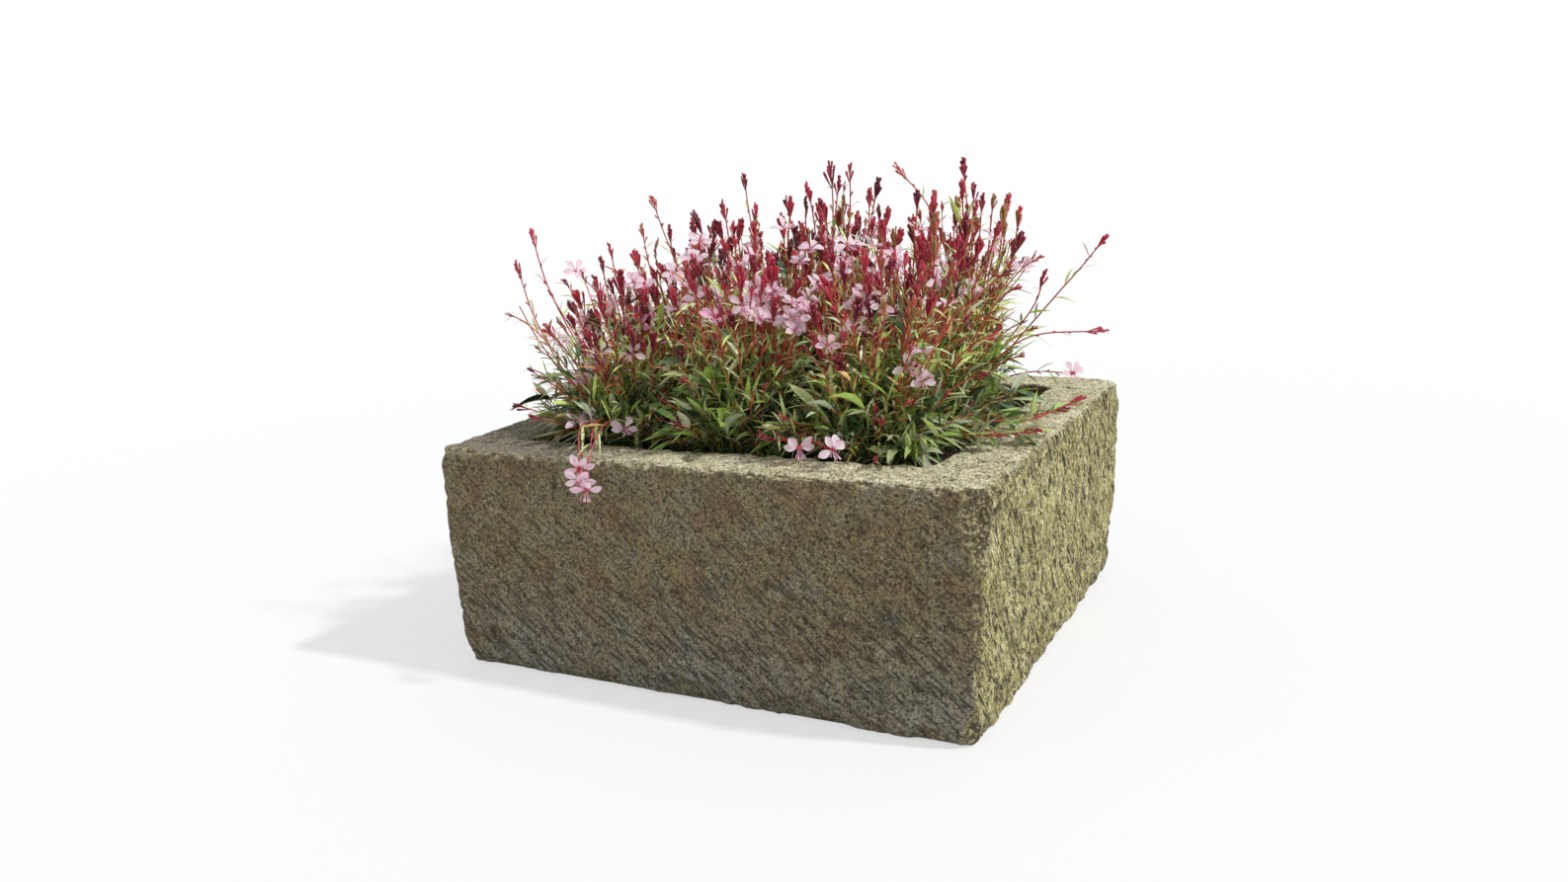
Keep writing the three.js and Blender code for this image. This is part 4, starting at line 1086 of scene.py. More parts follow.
def turning(forms, each, step):
    """Angles that go round every stem by a fixed step, each stem from a drawn start."""
    return np.tile(np.arange(each) * step, forms) + np.repeat(draw(0, 6.3, forms), each)


def leaning(direction, turn, lean):
    """Directions that lean away from others by an angle, on the side that a turn gives."""
    helper = np.where(np.abs(direction[:, 2:3]) < 0.95, (0, 0, 1), (1, 0, 0))
    across = unit(np.cross(direction, helper))
    over = np.cross(direction, across)
    away = across * np.cos(turn)[:, None] + over * np.sin(turn)[:, None]
    return unit(direction * np.cos(lean)[:, None] + away * np.sin(lean)[:, None])


# %% Paths through given points
def curve_through(corners, steps):
    """A smooth path through a few points."""
    corners = np.asarray(corners, float)
    ends = np.vstack([2 * corners[0] - corners[1], corners, 2 * corners[-1] - corners[-2]])
    place = np.linspace(0, len(corners) - 1, steps)
    low = np.minimum(place.astype(int), len(corners) - 2)
    t = (place - low)[:, None]
    a, b, c, d = ends[low], ends[low + 1], ends[low + 2], ends[low + 3]
    return 0.5 * (2 * b + (c - a) * t + (2 * a - 5 * b + 4 * c - d) * t ** 2
                  + (3 * b - a - 3 * c + d) * t ** 3)


def from_crown(plant, towards):
    """A path from a plant's crown up to a place, leaning like the other stems."""
    towards = np.array(towards)
    crown = np.array([plant.x, plant.y, SOIL_LEVEL - SHOOT_SUNK])
    aim = towards - crown
    flat = np.clip(np.linalg.norm(aim[:2]), 1e-6, None)
    crown[:2] += aim[:2] / flat * min(CLUMP, flat * 0.4)
    bend = crown + (towards - crown) * (0.42, 0.42, 0.6)
    return curve_through([crown, bend, towards], STEM_STEPS)


# %% [markdown]
# ### Leaves
# A gaura leaf is a lance: narrow, folded a little along its midrib and curving back at its tip.
# The leaves at the foot are large and dark, partly in their own tone and partly from painted shade,
# and those higher up are smaller, paler and often tinged with red.

# %% Leaves
LEAF_STEPS = 6
LEAF_OUTLINE = np.array([0.22, 0.68, 1.0, 0.86, 0.5, 0.04])


def grow_leaves(plant, start, direction, length, width, droop, tones):
    """Adds lance-shaped leaves that start at points and curve down towards their tips."""
    t = np.linspace(0, 1, LEAF_STEPS)[None, :, None]
    flat = unit(direction * (1, 1, 0.0) + (1e-6, 0, 0))
    sink = np.array([0, 0, -1.0])
    paths = (start[:, None] + direction[:, None] * length[:, None, None] * t
             + (sink + 0.35 * flat)[:, None] * (length * droop)[:, None, None] * t ** 2)
    roll = draw(-0.8, 0.8, len(start))[:, None]
    side = unit(np.cross((0, 0, 1.0), direction) + (1e-6, 0, 0))
    side = side * np.cos(roll) + np.cross(direction, side) * np.sin(roll)
    widths = width[:, None] / 2 * LEAF_OUTLINE
    plant.leaves.sweep(paths, widths, widths * 0.32, side, LEAF_SECTION, tones)


def shoot_leaves(plant, paths, each, lengths, tones):
    """Leaves all round some shoots, of lengths and tones between two limits."""
    which, _, start, direction = spaced(paths, each, 0.2, 1, 0.05)
    count = len(which)
    direction = leaning(direction, draw(0, 2 * math.pi, count), draw(0.35, 1.2, count))
    direction = unit(direction + (0, 0, 0.3))
    length = draw(*lengths, count)
    width = length * (0.09 + 0.24 * draw(0, 1, count) ** 3)
    grow_leaves(plant, start, direction, length, width, draw(0, 0.6, count), draw(*tones, count))


def stem_leaves(plant, paths, each, low=0.18, high=0.8):
    """Narrow leaves that climb stems, smaller towards the tip."""
    which, share, start, ahead = spaced(paths, each, low, high, 0.03)
    count = len(which)
    turn = turning(len(paths), each, GOLDEN_ANGLE)
    direction = leaning(ahead, turn, draw(0.45, 1.0, count))
    length = 0.046 * (1.15 - share) * draw(0.5, 1.25, count) + 0.007
    tones = np.clip(0.25 + 0.6 * share + draw(-0.3, 0.3, count), 0, 1)
    grow_leaves(plant, start, direction, length, length * draw(0.08, 0.16, count),
                draw(0, 0.45, count), tones)


# %% Leaf green
LEAF_SHADE = (0.28, 0.37)


def leaf_finish():
    """Leaf green: darkened by painted shade at the foot of the plant, olive and reddish higher up, with a
    pale midrib.
    """
    mix = Finish("gaura_leaf", 0.34)
    mix.shader.inputs["Coat Weight"].default_value = 0.5
    mix.shader.inputs["Coat Roughness"].default_value = 0.22
    along, middle, own = mix.marks()
    blade = mix.shades(own, [
        (0.0, 24, 48, 30), (0.27, 60, 116, 54), (0.40, 194, 238, 104),
        (0.54, 240, 252, 160), (0.66, 234, 246, 220), (0.78, 236, 222, 128),
        (0.88, 206, 122, 70), (1.0, 172, 52, 50)])
    blade = mix.blend(mix.stretch(mix.clouds(0.02, 2), 0.5, 0.65, 0, 0.35), blade, tone(206, 218, 160))
    blade = mix.blend(mix.stretch(middle, 0.86, 1.0, 0, 0.5), blade, tone(196, 204, 150))
    blade = mix.blend(mix.stretch(along, 0.8, 1.0, 0, 0.3), blade, tone(160, 110, 70))
    place_z = mix.parts(mix.place)[2]
    # Painted shade on the leaves at the foot of the plants.
    blade = mix.blend(1, blade, mix.stretch(place_z, *LEAF_SHADE, 0.62, 1.0), "MULTIPLY")
    mix.let_through(0.26, blade)
    return mix.finish(blade, mix.relief(mix.clouds(0.0015, 2, 0.5), 0.0003))


# %% [markdown]
# ### Stems
# The stems are green at the foot and turn rust red upwards. The thickest measure 2.8 mm across at
# the foot, and all of them taper.

# %% Stems
STEM_RADII = {"upright": (0.0014, 0.0009), "stray": (0.0013, 0.0008), "flower": (0.0012, 0.0007),
              "shoot": (0.0012, 0.0006), "low": (0.0011, 0.0006), "branch": (0.0009, 0.0006)}


def stem_finish():
    """Stem colour: green below, turning to rust and wine red above, freckled."""
    mix = Finish("gaura_stem", 0.5)
    along, _, own = mix.marks()
    colour_place = mix.sum("ADD", mix.times(along, 0.75), mix.times(own, 0.35))
    body = mix.shades(colour_place, [
        (0.1, 136, 150, 74), (0.32, 162, 136, 68), (0.58, 196, 80, 54), (0.9, 164, 38, 58)])
    body = mix.blend(mix.stretch(mix.clouds(0.004, 3), 0.45, 0.65, 0, 0.4), body, tone(170, 110, 70))
    return mix.finish(body, mix.relief(mix.clouds(0.002, 2), 0.0002))


def grow_stems(plant, paths, kind, tones):
    """Adds stems of one kind, which gives their radii at the foot and at the tip."""
    thick = np.linspace(*STEM_RADII[kind], paths.shape[1])[None] * np.ones((len(paths), 1))
    plant.stems.sweep(paths, thick, thick, (1, 0, 0), STEM_SECTION, tones)


# %% Leafy shoots
LEAN_OUT = 0.45


def leafy_shoots(plant, shoots, tall, leaf_lengths, tones):
    """A crowd of leafy shoots at the foot of a plant, up to this tall, with leaves of these lengths."""
    number = np.arange(shoots)
    out = np.sqrt((number + 0.5) / shoots)
    turn = number * GOLDEN_ANGLE + plant.number
    u, v = out * np.cos(turn), out * np.sin(turn)
    u = u * (1 + LEAN_OUT * np.clip(np.sign(u) * plant.outer[0], 0, 1))
    v = v * (1 + LEAN_OUT * np.clip(np.sign(v) * plant.outer[1], 0, 1))
    height = tall * plant.tall * (1 - 0.35 * out ** 2) * draw(0.5, 1.08, shoots)
    base = feet(plant, u, v, SHOOT_SUNK)
    tip = np.stack([plant.x + u * PITCH_X * 0.52, plant.y + v * PITCH_Y * 0.52, SOIL_LEVEL + height], axis=1)
    knee = base + (tip - base) * 0.35
    knee[:, 2] = SOIL_LEVEL + height * 0.75
    paths = sway(bent(base, knee, tip, 8))
    grow_stems(plant, paths, "shoot", draw(-1.2, -0.3, shoots))
    shoot_leaves(plant, paths, 10, leaf_lengths, tones)
    return paths


# %% [markdown]
# ### Buds
# A stem ends in a tuft like a small paintbrush: blunt, club-shaped buds that start at different
# heights and reach about as high as each other. Single buds sit below it, first on one side and
# then on the other. Their crimson is what colours the whole planting from afar.

# %% Buds
BUD_OUTLINE = np.array([0.3, 0.45, 0.75, 1.0, 0.65])
TUFT_DEPTH, TUFT_BUD, TUFT_BUD_WIDE = 0.021, 0.0205, 0.0015
SMALL_BUD = (0.005, 0.0095)


def grow_buds(plant, start, direction, ahead, long, wide, tones):
    """Adds club-shaped buds that start at points and bend from one direction towards another."""
    t = np.array([0, 0.28, 0.58, 0.86, 1])[None, :, None]
    bend = (ahead - direction) * 0.15
    paths = start[:, None] + long[:, None, None] * (direction[:, None] * t + bend[:, None] * t ** 2)
    widths = wide[:, None] * BUD_OUTLINE
    plant.buds.sweep(paths, widths, widths, (1, 0.2, 0), BUD_SECTION, tones)


def grow_tufts(plant, paths, each, sizes, tones):
    """Ends every path in a tuft of buds. A size of one is a tuft of about 13 by 29 mm."""
    forms = len(paths)
    which = np.repeat(np.arange(forms), each)
    count = len(which)
    order = np.tile(np.linspace(0, 1, each), forms)
    size = sizes[which]
    ahead = unit(paths[which, -1] - paths[which, -2])
    start = paths[which, -1] - ahead * (TUFT_DEPTH * size * (1 - 0.85 * order))[:, None]
    turn = turning(forms, each, GOLDEN_ANGLE)
    lean = (0.34 - 0.15 * order) * draw(0.5, 1.3, count)
    long = size * (TUFT_BUD - 0.0085 * order) * draw(0.75, 1.1, count)
    wide = TUFT_BUD_WIDE * size * draw(0.75, 1.25, count)
    grow_buds(plant, start, leaning(ahead, turn, lean), ahead, long, wide,
              np.clip(tones[which] + draw(-0.15, 0.15, count), 0, 1))


def grow_single_buds(plant, paths, each, low, high, tones):
    """Sets small buds along the upper part of every path, each on the other side from the last."""
    which, _, start, ahead = spaced(paths, each, low, high, 0.02)
    turn = turning(len(paths), each, 2.8)
    direction = leaning(ahead, turn, draw(0.35, 0.75, len(which)))
    long = draw(*SMALL_BUD, len(which))
    grow_buds(plant, start, direction, ahead, long, long * 0.15,
              np.clip(tones[which] + draw(-0.2, 0.2, len(which)), 0, 1))


def bud_finish():
    """Bud crimson: dark at the foot of each bud, with a painted highlight towards its point, a few still
    green.
    """
    mix = Finish("gaura_bud", 0.5)
    along, _, own = mix.marks()
    body = mix.shades(own, [(0.0, 74, 16, 30), (0.4, 150, 30, 48), (0.78, 212, 60, 84), (1.0, 156, 124, 62)])
    body = mix.blend(mix.stretch(along, 0.0, 0.4, 0.6, 0), body, tone(112, 34, 40))
    # Painted highlight at the point of each bud.
    body = mix.blend(mix.stretch(along, 0.78, 1.0, 0, 0.45), body, tone(214, 110, 130))
    return mix.finish(body, mix.relief(mix.clouds(0.0015, 2), 0.0003))


# %% [markdown]
# ### Flowers
# A gaura flower has four petals, spread upwards and sideways like the wings of a moth, and a
# fringe of long stamens that hangs below. Each petal has a narrow claw and a broad, slightly cupped
# blade. The petals are swept with a wide cross-section that is curled up at its edges.

# %% Flowers
PETAL_LONG, PETAL_WIDE, PETAL_STEPS = 0.0185, 0.0043, 7
PETAL_OUTLINE = np.array([0.14, 0.22, 0.5, 0.88, 1.04, 0.82, 0.24])
PETAL_ANGLES = np.radians((-96, -38, 30, 88))
STAMENS, STAMEN_LONG = 7, 0.012
STAMEN_RADII = np.array([0.00022, 0.00022, 0.0002, 0.0007])


def grow_flowers(plant, centres, facings, sizes, tones):
    """Adds flowers: four petals and a fringe of stamens each, facing the given ways."""
    count = len(centres)
    facings = unit(facings)
    across = unit(np.cross((0, 0, 1.0), facings))
    rise = np.cross(facings, across)
    t = np.linspace(0, 1, PETAL_STEPS)[None, :, None]
    for angle in PETAL_ANGLES:
        turned = angle + draw(-0.3, 0.3, count)[:, None]
        cupped = facings * draw(0.0, 0.6, (count, 1))
        out = unit(across * np.sin(turned) + rise * np.cos(turned) + cupped)
        curl = draw(-0.6, 0.15, (count, 1))
        length = PETAL_LONG * sizes * draw(0.85, 1.06, count)
        paths = (centres[:, None] + (out[:, None] * t + (facings * curl)[:, None] * t ** 2)
                 * length[:, None, None])
        widths = (PETAL_WIDE * sizes * draw(0.85, 1.1, count))[:, None] * PETAL_OUTLINE
        plant.flowers.sweep(paths, widths, widths, np.cross(facings, out), PETAL_SECTION,
                     np.clip(tones + draw(-0.08, 0.08, count), 0, 1))
    which = np.repeat(np.arange(count), STAMENS)
    sideways = np.tile(np.linspace(-0.5, 0.5, STAMENS), count) + draw(-0.1, 0.1, len(which))
    out = unit(facings[which] * 0.8 + across[which] * sideways[:, None]
               - rise[which] * draw(0.3, 0.9, (len(which), 1)))
    t = np.linspace(0, 1, len(STAMEN_RADII))[None, :, None]
    paths = centres[which][:, None] + (out[:, None] * t - rise[which][:, None] * 0.25 * t ** 2) * STAMEN_LONG
    thin = STAMEN_RADII[None] * np.ones((len(which), 1))
    plant.flowers.sweep(paths, thin, thin, (1, 0, 0), BUD_SECTION, np.full(len(which), 0.8))


def petal_finish():
    """Petal pink: nearly white in the blade, with deeper pink veins and a crimson claw."""
    mix = Finish("gaura_petal", 0.55)
    along, middle, own = mix.marks()
    blade = mix.shades(own, [(0.0, 255, 252, 254), (0.6, 255, 246, 251), (1.0, 252, 204, 228)])
    fan = mix.times(mix.sum("ADD", middle, mix.times(mix.clouds(0.003, 2), 0.08)), 34)
    vein = mix.stretch(mix.sum("SINE", fan, 0.0), 0.3, 1.0, 0, 0.3)
    blade = mix.blend(vein, blade, tone(226, 140, 184))
    blade = mix.blend(mix.stretch(along, 0.04, 0.31, 0.9, 0), blade, tone(212, 74, 128))
    mix.let_through(0.6, mix.blend(0.3, blade, tone(255, 214, 236)))
    return mix.finish(blade, mix.relief(mix.clouds(0.002, 2), 0.0003))


# %% [markdown]
# ### Root balls
# Every plant came in a pot, and its roots still hold the shape of that pot in the soil.

# %% Root balls
BALL_SIDES = 36
BALL_OUTLINE = [
    (0.002, -0.072), (0.020, -0.072), (0.033, -0.071), (0.0348, -0.066), (0.037, -0.048), (0.039, -0.028),
    (0.0412, -0.006), (0.0405, -0.001), (0.034, 0.003), (0.025, 0.010), (0.013, 0.0145), (0.001, 0.0165)]


def root_ball(plant):
    """A pot-shaped lump of compost and fine roots, with a low crown where the stems come out."""
    turn = circle(BALL_SIDES)
    top = SOIL_LEVEL - 0.0003
    grid = np.array([np.column_stack([plant.x + r * np.cos(turn), plant.y + r * np.sin(turn),
                                      np.full(BALL_SIDES, top + z)]) for r, z in BALL_OUTLINE])
    out = unit(grid - (plant.x, plant.y, top - 0.03))
    grid = grid + out * (lumps(grid, 0.008, 31) * 0.0008 - 0.0006)[..., None]
    return grid.reshape(-1, 3), capped_faces(len(BALL_OUTLINE), BALL_SIDES)


# %% [markdown]
# ### Stems that stray
# A few stems leave the mass, and they give the planting its outline: two twigs on the left, a long
# spray on the right with buds spaced along it, and some that flop over the rim. They are set one by
# one. Each is named by the plant that carries it, the points it passes and what it bears.

# %% The straying stems
STRAYS = {
    "gaura_front_left": [
        ("buds", [(-0.231, -0.142, 0.361), (-0.277, -0.148, 0.456), (-0.294, -0.152, 0.529)]),
        ("buds", [(-0.245, -0.152, 0.329), (-0.294, -0.158, 0.415), (-0.315, -0.161, 0.488)]),
        ("leaves", [(-0.25, -0.15, 0.33), (-0.300, -0.15, 0.39), (-0.327, -0.15, 0.436)]),
        ("buds", [(-0.25, -0.14, 0.28), (-0.30, -0.135, 0.30), (-0.334, -0.12, 0.319)]),
        ("flower", [(-0.175, -0.218, 0.300), (-0.147, -0.282, 0.310), (-0.122, -0.322, 0.276)]),
        ("flower", [(-0.16, -0.20, 0.300), (-0.135, -0.27, 0.312), (-0.112, -0.325, 0.252)]),
        ("flower", [(-0.15, -0.20, 0.300), (-0.125, -0.27, 0.310), (-0.118, -0.328, 0.264)]),
    ],
    "gaura_front_centre": [
        ("flower", [(0.042, -0.176, 0.300), (0.077, -0.230, 0.310), (0.126, -0.261, 0.300)]),
        ("flower", [(0.06, -0.18, 0.300), (0.12, -0.235, 0.306), (0.170, -0.268, 0.302)]),
    ],
    "gaura_front_right": [
        ("leafy", [(0.273, -0.109, 0.300), (0.332, -0.1, 0.306), (0.382, -0.065, 0.326)]),
        ("leafy", [(0.27, -0.12, 0.294), (0.31, -0.12, 0.294), (0.345, -0.115, 0.298)]),
        ("leafy", [(0.25, -0.15, 0.296), (0.285, -0.155, 0.298), (0.315, -0.15, 0.300)]),
        ("leafy", [(0.26, -0.08, 0.300), (0.31, -0.075, 0.302), (0.362, -0.06, 0.312)]),
    ],
    "gaura_middle_left": [
        ("buds", [(-0.215, -0.03, 0.36), (-0.25, -0.03, 0.44), (-0.262, -0.03, 0.500)]),
        ("buds", [(-0.19, -0.01, 0.37), (-0.22, 0.0, 0.47), (-0.228, 0.0, 0.522)]),
    ],
    "gaura_middle_centre": [
        ("buds", [(0.035, 0.036, 0.376), (0.053, 0.055, 0.504), (0.056, 0.061, 0.588)]),
        ("buds", [(0.02, 0.03, 0.38), (0.03, 0.055, 0.50), (0.040, 0.06, 0.572)]),
    ],
    "gaura_middle_right": [
        ("buds", [(0.238, 0.015, 0.332), (0.298, 0.021, 0.380), (0.385, 0.022, 0.389)]),
        ("buds", [(0.19, 0.03, 0.37), (0.235, 0.05, 0.46), (0.251, 0.06, 0.510)]),
        ("buds", [(0.20, 0.02, 0.36), (0.26, 0.04, 0.43), (0.272, 0.05, 0.488)]),
    ],
    "gaura_back_left": [
        ("buds", [(-0.19, 0.1, 0.36), (-0.23, 0.07, 0.49), (-0.247, 0.06, 0.558)]),
        ("buds", [(-0.15, 0.1, 0.37), (-0.165, 0.05, 0.46), (-0.172, 0.04, 0.524)]),
    ],
    "gaura_back_centre": [
        ("buds", [(-0.07, 0.106, 0.376), (-0.112, 0.103, 0.504), (-0.121, 0.1, 0.580)]),
        ("dark", [(-0.02, 0.09, 0.40), (-0.03, 0.065, 0.50), (-0.038, 0.06, 0.548)]),
        ("dark", [(-0.01, 0.09, 0.40), (-0.012, 0.065, 0.50), (-0.009, 0.06, 0.548)]),
    ],
    "gaura_back_right": [
        ("spray", [(0.245, 0.097, 0.345), (0.315, 0.091, 0.424), (0.345, 0.09, 0.457), (0.372, 0.09, 0.490)]),
        ("flower", [(0.217, 0.121, 0.300), (0.27, 0.121, 0.319), (0.325, 0.121, 0.319)]),
        ("buds", [(0.185, 0.11, 0.38), (0.165, 0.07, 0.52), (0.122, 0.06, 0.584)]),
        ("buds", [(0.20, 0.1, 0.38), (0.21, 0.08, 0.49), (0.214, 0.08, 0.556)]),
        ("buds", [(0.20, 0.1, 0.38), (0.215, 0.09, 0.48), (0.224, 0.08, 0.541)]),
        ("buds", [(0.24, 0.09, 0.35), (0.29, 0.07, 0.41), (0.307, 0.06, 0.450)]),
    ],
}

# Flowers that face the front, each on its own stem: where they sit, in metres
FRONT_FLOWERS = [
    (-0.129, -0.150, 0.461), (-0.089, -0.130, 0.461), (-0.030, -0.150, 0.449), (-0.102, -0.060, 0.507),
    (0.059, -0.100, 0.484), (0.096, -0.140, 0.460), (0.078, -0.170, 0.429), (0.100, -0.160, 0.428),
    (0.157, -0.150, 0.446), (0.107, -0.080, 0.485), (-0.175, -0.190, 0.385), (-0.206, -0.200, 0.351),
    (-0.300, -0.120, 0.388), (-0.300, -0.060, 0.471), (0.235, -0.170, 0.367), (0.240, -0.100, 0.433),
    (0.280, 0.060, 0.460), (-0.188, -0.235, 0.307), (-0.117, -0.235, 0.302), (0.008, -0.040, 0.519),
    (0.133, -0.060, 0.497), (0.021, -0.160, 0.430), (-0.029, -0.100, 0.477), (-0.097, -0.090, 0.488),
    (0.024, -0.150, 0.459), (0.147, -0.060, 0.479), (0.221, -0.180, 0.376), (0.041, -0.175, 0.426),
    (0.073, -0.172, 0.424), (0.095, -0.160, 0.436), (0.102, -0.130, 0.462), (0.154, -0.165, 0.415),
    (0.112, -0.110, 0.482), (0.180, -0.100, 0.486), (0.158, -0.150, 0.446), (0.012, -0.140, 0.450),
]
print("straying stems:", sum(len(stems) for stems in STRAYS.values()), "front flowers:", len(FRONT_FLOWERS))

# %% [markdown]
# ### Putting the plants together
# Every part of a plant follows the paths of its stems, so the stems come first and what they bear
# comes after them. The plants at the outside lean outwards: their low shoots lie over the inner
# edge of the rim, and some of their stems arch over it.

# %% Upright stems and shoots
SHOOTS = [(60, 0.150, (0.018, 0.056), (0, 0.72)), (44, 0.235, (0.012, 0.032), (0.2, 0.95)),
          (26, 0.300, (0.008, 0.022), (0.6, 1))]


def grow_upright(plant):
    """Grows a plant's upright stems and its shoots, and gives the paths and tones of the stems."""
    numbers = np.arange(STEMS_A_PLANT)
    paths = sway(stem_paths(plant, numbers))
    tones = draw(0, 0.85, STEMS_A_PLANT)
    if plant.name.endswith("right"):
        tones = np.where(chance(numbers, 3.7) < 0.15, 1, tones)
    grow_stems(plant, paths, "upright", tones)
    stem_leaves(plant, paths, 20, 0.12, 0.9)
    for count, tall, lengths, leaf_tones in SHOOTS:
        shoots = leafy_shoots(plant, count, tall, lengths, leaf_tones)
    grow_tufts(plant, shoots, 5, draw(0.5, 0.9, count), draw(0.1, 0.8, count))
    grow_tufts(plant, paths, 11, draw(0.7, 1.4, STEMS_A_PLANT), tones)
    grow_single_buds(plant, paths, 5, 0.62, 0.9, tones)
    return paths, tones


def grow_branches(plant, paths, tones):
    """Grows up to two side branches on every stem, each with its own smaller tuft."""
    which = np.flatnonzero(draw(0, 1, 2 * STEMS_A_PLANT) < 0.5) % STEMS_A_PLANT
    count = len(which)
    start, ahead = at(paths, which, draw(0.34, 0.78, count))
    out = leaning(ahead, draw(0, 6.3, count), draw(0.3, 0.6, count))
    long = draw(0.03, 0.07, count)
    t = np.linspace(0, 1, 8)[None, :, None]
    curve = out[:, None] * t + (ahead - out)[:, None] * 0.4 * t ** 2
    branches = start[:, None] + curve * long[:, None, None]
    grow_stems(plant, branches, "branch", tones[which])
    stem_leaves(plant, branches, 3, 0.05, 0.6)
    grow_tufts(plant, branches, 5, draw(0.55, 1.0, count), tones[which])


# %% Low shoots and arching stems
RIM_SHOOTS, CAD_ARCHING_STEMS, MORE_ARCHING_STEMS = 14, 5, 6
SIDE_REACH = {-1: (0.205, 0.236), 0: (0, 0), 1: (0.235, 0.285)}


def reach_for(plant, many, *limits):
    """Paths from a plant's crown to drawn places. Each limit is a start, a scale and two shares of it."""
    return [from_crown(plant, [start + scale * draw(low, high) for start, scale, low, high in limits])
            for _ in range(many)]


def rim_shoots(plant):
    """Paths of low leafy shoots that lie over the nearest inner edges of the rim."""
    aside, forward = plant.outer
    return np.array(
        reach_for(plant, RIM_SHOOTS if aside else 0,
                  (0, aside, *SIDE_REACH[aside]), (plant.y, PITCH_Y, -0.6, 0.4), (0, 1, 0.29, 0.325))
        + reach_for(plant, RIM_SHOOTS if forward < 0 else 0,
                    (plant.x, PITCH_X, -0.6, 0.6), (0, forward, 0.20, 0.236), (0, 1, 0.288, 0.32))
        + reach_for(plant, RIM_SHOOTS if aside > 0 > forward else 0,
                    (0, 1, 0.20, 0.262), (0, 1, -0.222, -0.16), (0, 1, 0.286, 0.31)))


def arching_stems(plant):
    """Paths of stems that arch over the nearest rims. The CAD model has the first five to a side."""
    aside, forward = plant.outer
    paths = []
    for k in range(CAD_ARCHING_STEMS if abs(aside) == 1 else 0):
        over = 0.45 + 0.4 * chance(k, plant.number + 20)
        rise = 0.3 + 0.4 * (k + chance(k, plant.number + 30)) / CAD_ARCHING_STEMS
        spread = (k * GOLDEN_SHARE + 0.3) % 1 - 0.5
        base = np.array([plant.x + aside * CLUMP, plant.y + spread * CLUMP, SOIL_LEVEL])
        tip = np.array([aside * (LENGTH / 2 - SIDE_WALL * over), plant.y + spread * PITCH_Y,
                        SOIL_LEVEL + STEM_HEIGHT * rise])
        paths.append(bent(base, base + (tip - base) * (0.5, 0.5, 0.9), tip, STEM_STEPS))
    return np.array(
        paths
        + reach_for(plant, MORE_ARCHING_STEMS if aside else 0,
                    (0, aside, 0.235, 0.28), (plant.y, PITCH_Y, -0.55, 0.55), (0, 1, 0.31, 0.48))
        + reach_for(plant, MORE_ARCHING_STEMS if forward else 0, (plant.x, PITCH_X, -0.6, 0.6),
                    (0, forward, 0.22, 0.262), (0, 1, 0.29, 0.37 if forward < 0 else 0.45)))


def grow_outer(plant):
    """Grows the low shoots and the arching stems of a plant at the outside."""
    low_ones = rim_shoots(plant)
    if len(low_ones):
        grow_stems(plant, low_ones, "low", draw(0, 0.4, len(low_ones)))
        shoot_leaves(plant, low_ones, 12, (0.018, 0.045), (0.1, 0.8))
    arched = arching_stems(plant)
    if len(arched):
        own = draw(0, 0.85, len(arched))
        grow_stems(plant, arched, "stray", own)
        stem_leaves(plant, arched, 14, 0.15, 0.95)
        grow_tufts(plant, arched, 5, draw(0.5, 0.95, len(arched)), own)


# %% Open flowers
def grow_open_flowers(plant, paths):
    """Opens flowers below the buds of some upright stems, turned outwards."""
    opened = np.flatnonzero(chance(np.arange(STEMS_A_PLANT) + 0.5, plant.number) < 0.32)
    centre = at(paths, opened, draw(0.74, 0.88, len(opened)))[0]
    away = centre * (1, 1, 0) + draw(-0.12, 0.12, (len(opened), 3)) + (0.06, -0.05, 0.1)
    grow_flowers(plant, centre + unit(away) * 0.004, away, draw(0.85, 1.05, len(opened)),
                 draw(0, 1, len(opened)))


def nearest_plant(place):
    """The name of the plant in whose share of the trough a place lies."""
    x, y, z = place
    fan = 1 + FAN * max(0, z - SOIL_LEVEL) / STEM_HEIGHT
    return min(plants, key=lambda p: abs(p.x - x / fan) / PITCH_X + abs(p.y - y / fan) / PITCH_Y).name


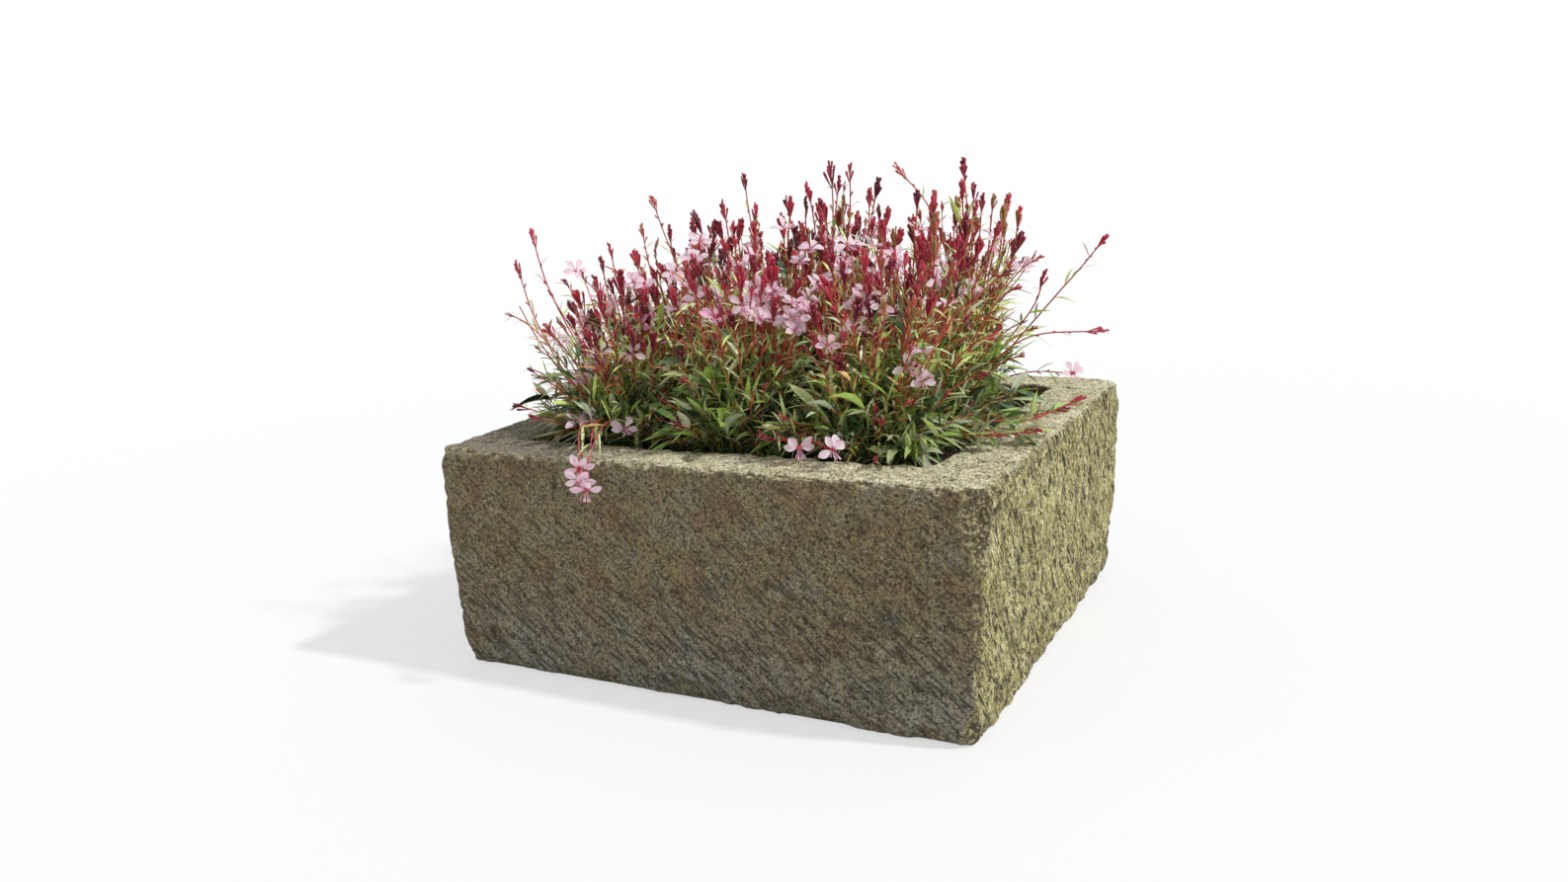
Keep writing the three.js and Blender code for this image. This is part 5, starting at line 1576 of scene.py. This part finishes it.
def grow_front_flowers(plant):
    """Sets the flowers that face the front, each on a stem of its own, and some more beside them."""
    spots = np.array([spot for spot in FRONT_FLOWERS if nearest_plant(spot) == plant.name]).reshape(-1, 3)
    if not len(spots):
        return
    beside = spots + draw(-1, 1, spots.shape) * (0.022, 0.010, 0.020)
    spots = np.concatenate([spots, beside[draw(0, 1, len(spots)) < 0.7]])
    carriers = np.array([from_crown(plant, spot + (0.003, 0.004, -0.002)) for spot in spots])
    grow_stems(plant, carriers, "flower", draw(0, 1, len(spots)))
    stem_leaves(plant, carriers, 6)
    facings = np.array([(0.85, -0.45, 0.85)]) + draw(-0.6, 0.6, (len(spots), 3))
    grow_flowers(plant, spots, facings, draw(0.82, 1.02, len(spots)), draw(0, 0.6, len(spots)))


# %% Stems that stray
def grow_strays(plant):
    """Grows the straying stems of a plant, each with the buds, leaves or flower that it bears."""
    crown = np.array([plant.x, plant.y, SOIL_LEVEL - SHOOT_SUNK])
    for bears, points in STRAYS.get(plant.name, []):
        path = curve_through([crown] + points, 20)[None]
        own = draw(0.2, 0.9, 1)
        grow_stems(plant, path, "stray", own)
        stem_leaves(plant, path, 8 if bears != "dark" else 5, 0.2, 0.8)
        if bears == "leafy":
            shoot_leaves(plant, path, 18, (0.018, 0.042), (0.3, 0.8))
        if bears != "flower" and bears != "leaves":
            grow_tufts(plant, path, 7, np.array([0.95]), own * (0.1 if bears == "dark" else 1))
            grow_single_buds(plant, path, 6 if bears == "spray" else 4, 0.7, 0.93, own)
        if bears == "flower":
            tip = path[:, -1]
            away = unit(tip - path[:, -3]) * 0.7 + (0.45, -0.6, 0.2) + draw(-0.3, 0.3, (1, 3))
            grow_flowers(plant, tip, away, np.array([1.05]), own * 0.4)
            grow_tufts(plant, path, 5, np.array([0.8]), own)
            grow_single_buds(plant, path, 4, 0.72, 0.95, own)


# %% [markdown]
# All nine plants grow in turn. The draws of chance follow one another, so the order of the steps
# has to stay as it is. The five pieces of a plant stand for its one CAD node.

# %% Grow the nine plants
finishes = {"gaura_stem": stem_finish(), "gaura_leaf": leaf_finish(), "gaura_bud": bud_finish(),
            "gaura_petal": petal_finish()}
for plant in plants:
    paths, tones = grow_upright(plant)
    grow_branches(plant, paths, tones)
    grow_outer(plant)
    grow_open_flowers(plant, paths)
    grow_front_flowers(plant)
    grow_strays(plant)
    for growth, what, slot, round_to in (
            (plant.stems, "stems", "gaura_stem", 60), (plant.leaves, "leaves", "gaura_leaf", 40),
            (plant.buds, "buds", "gaura_bud", 70), (plant.flowers, "flowers", "gaura_petal", 60)):
        growth.piece(f"{plant.name}_{what}", finishes[slot], slot, plant.name, round_to)
    points, faces = root_ball(plant)
    new_piece(f"{plant.name}_root_ball", points, faces, dark_compost, [plant.name])
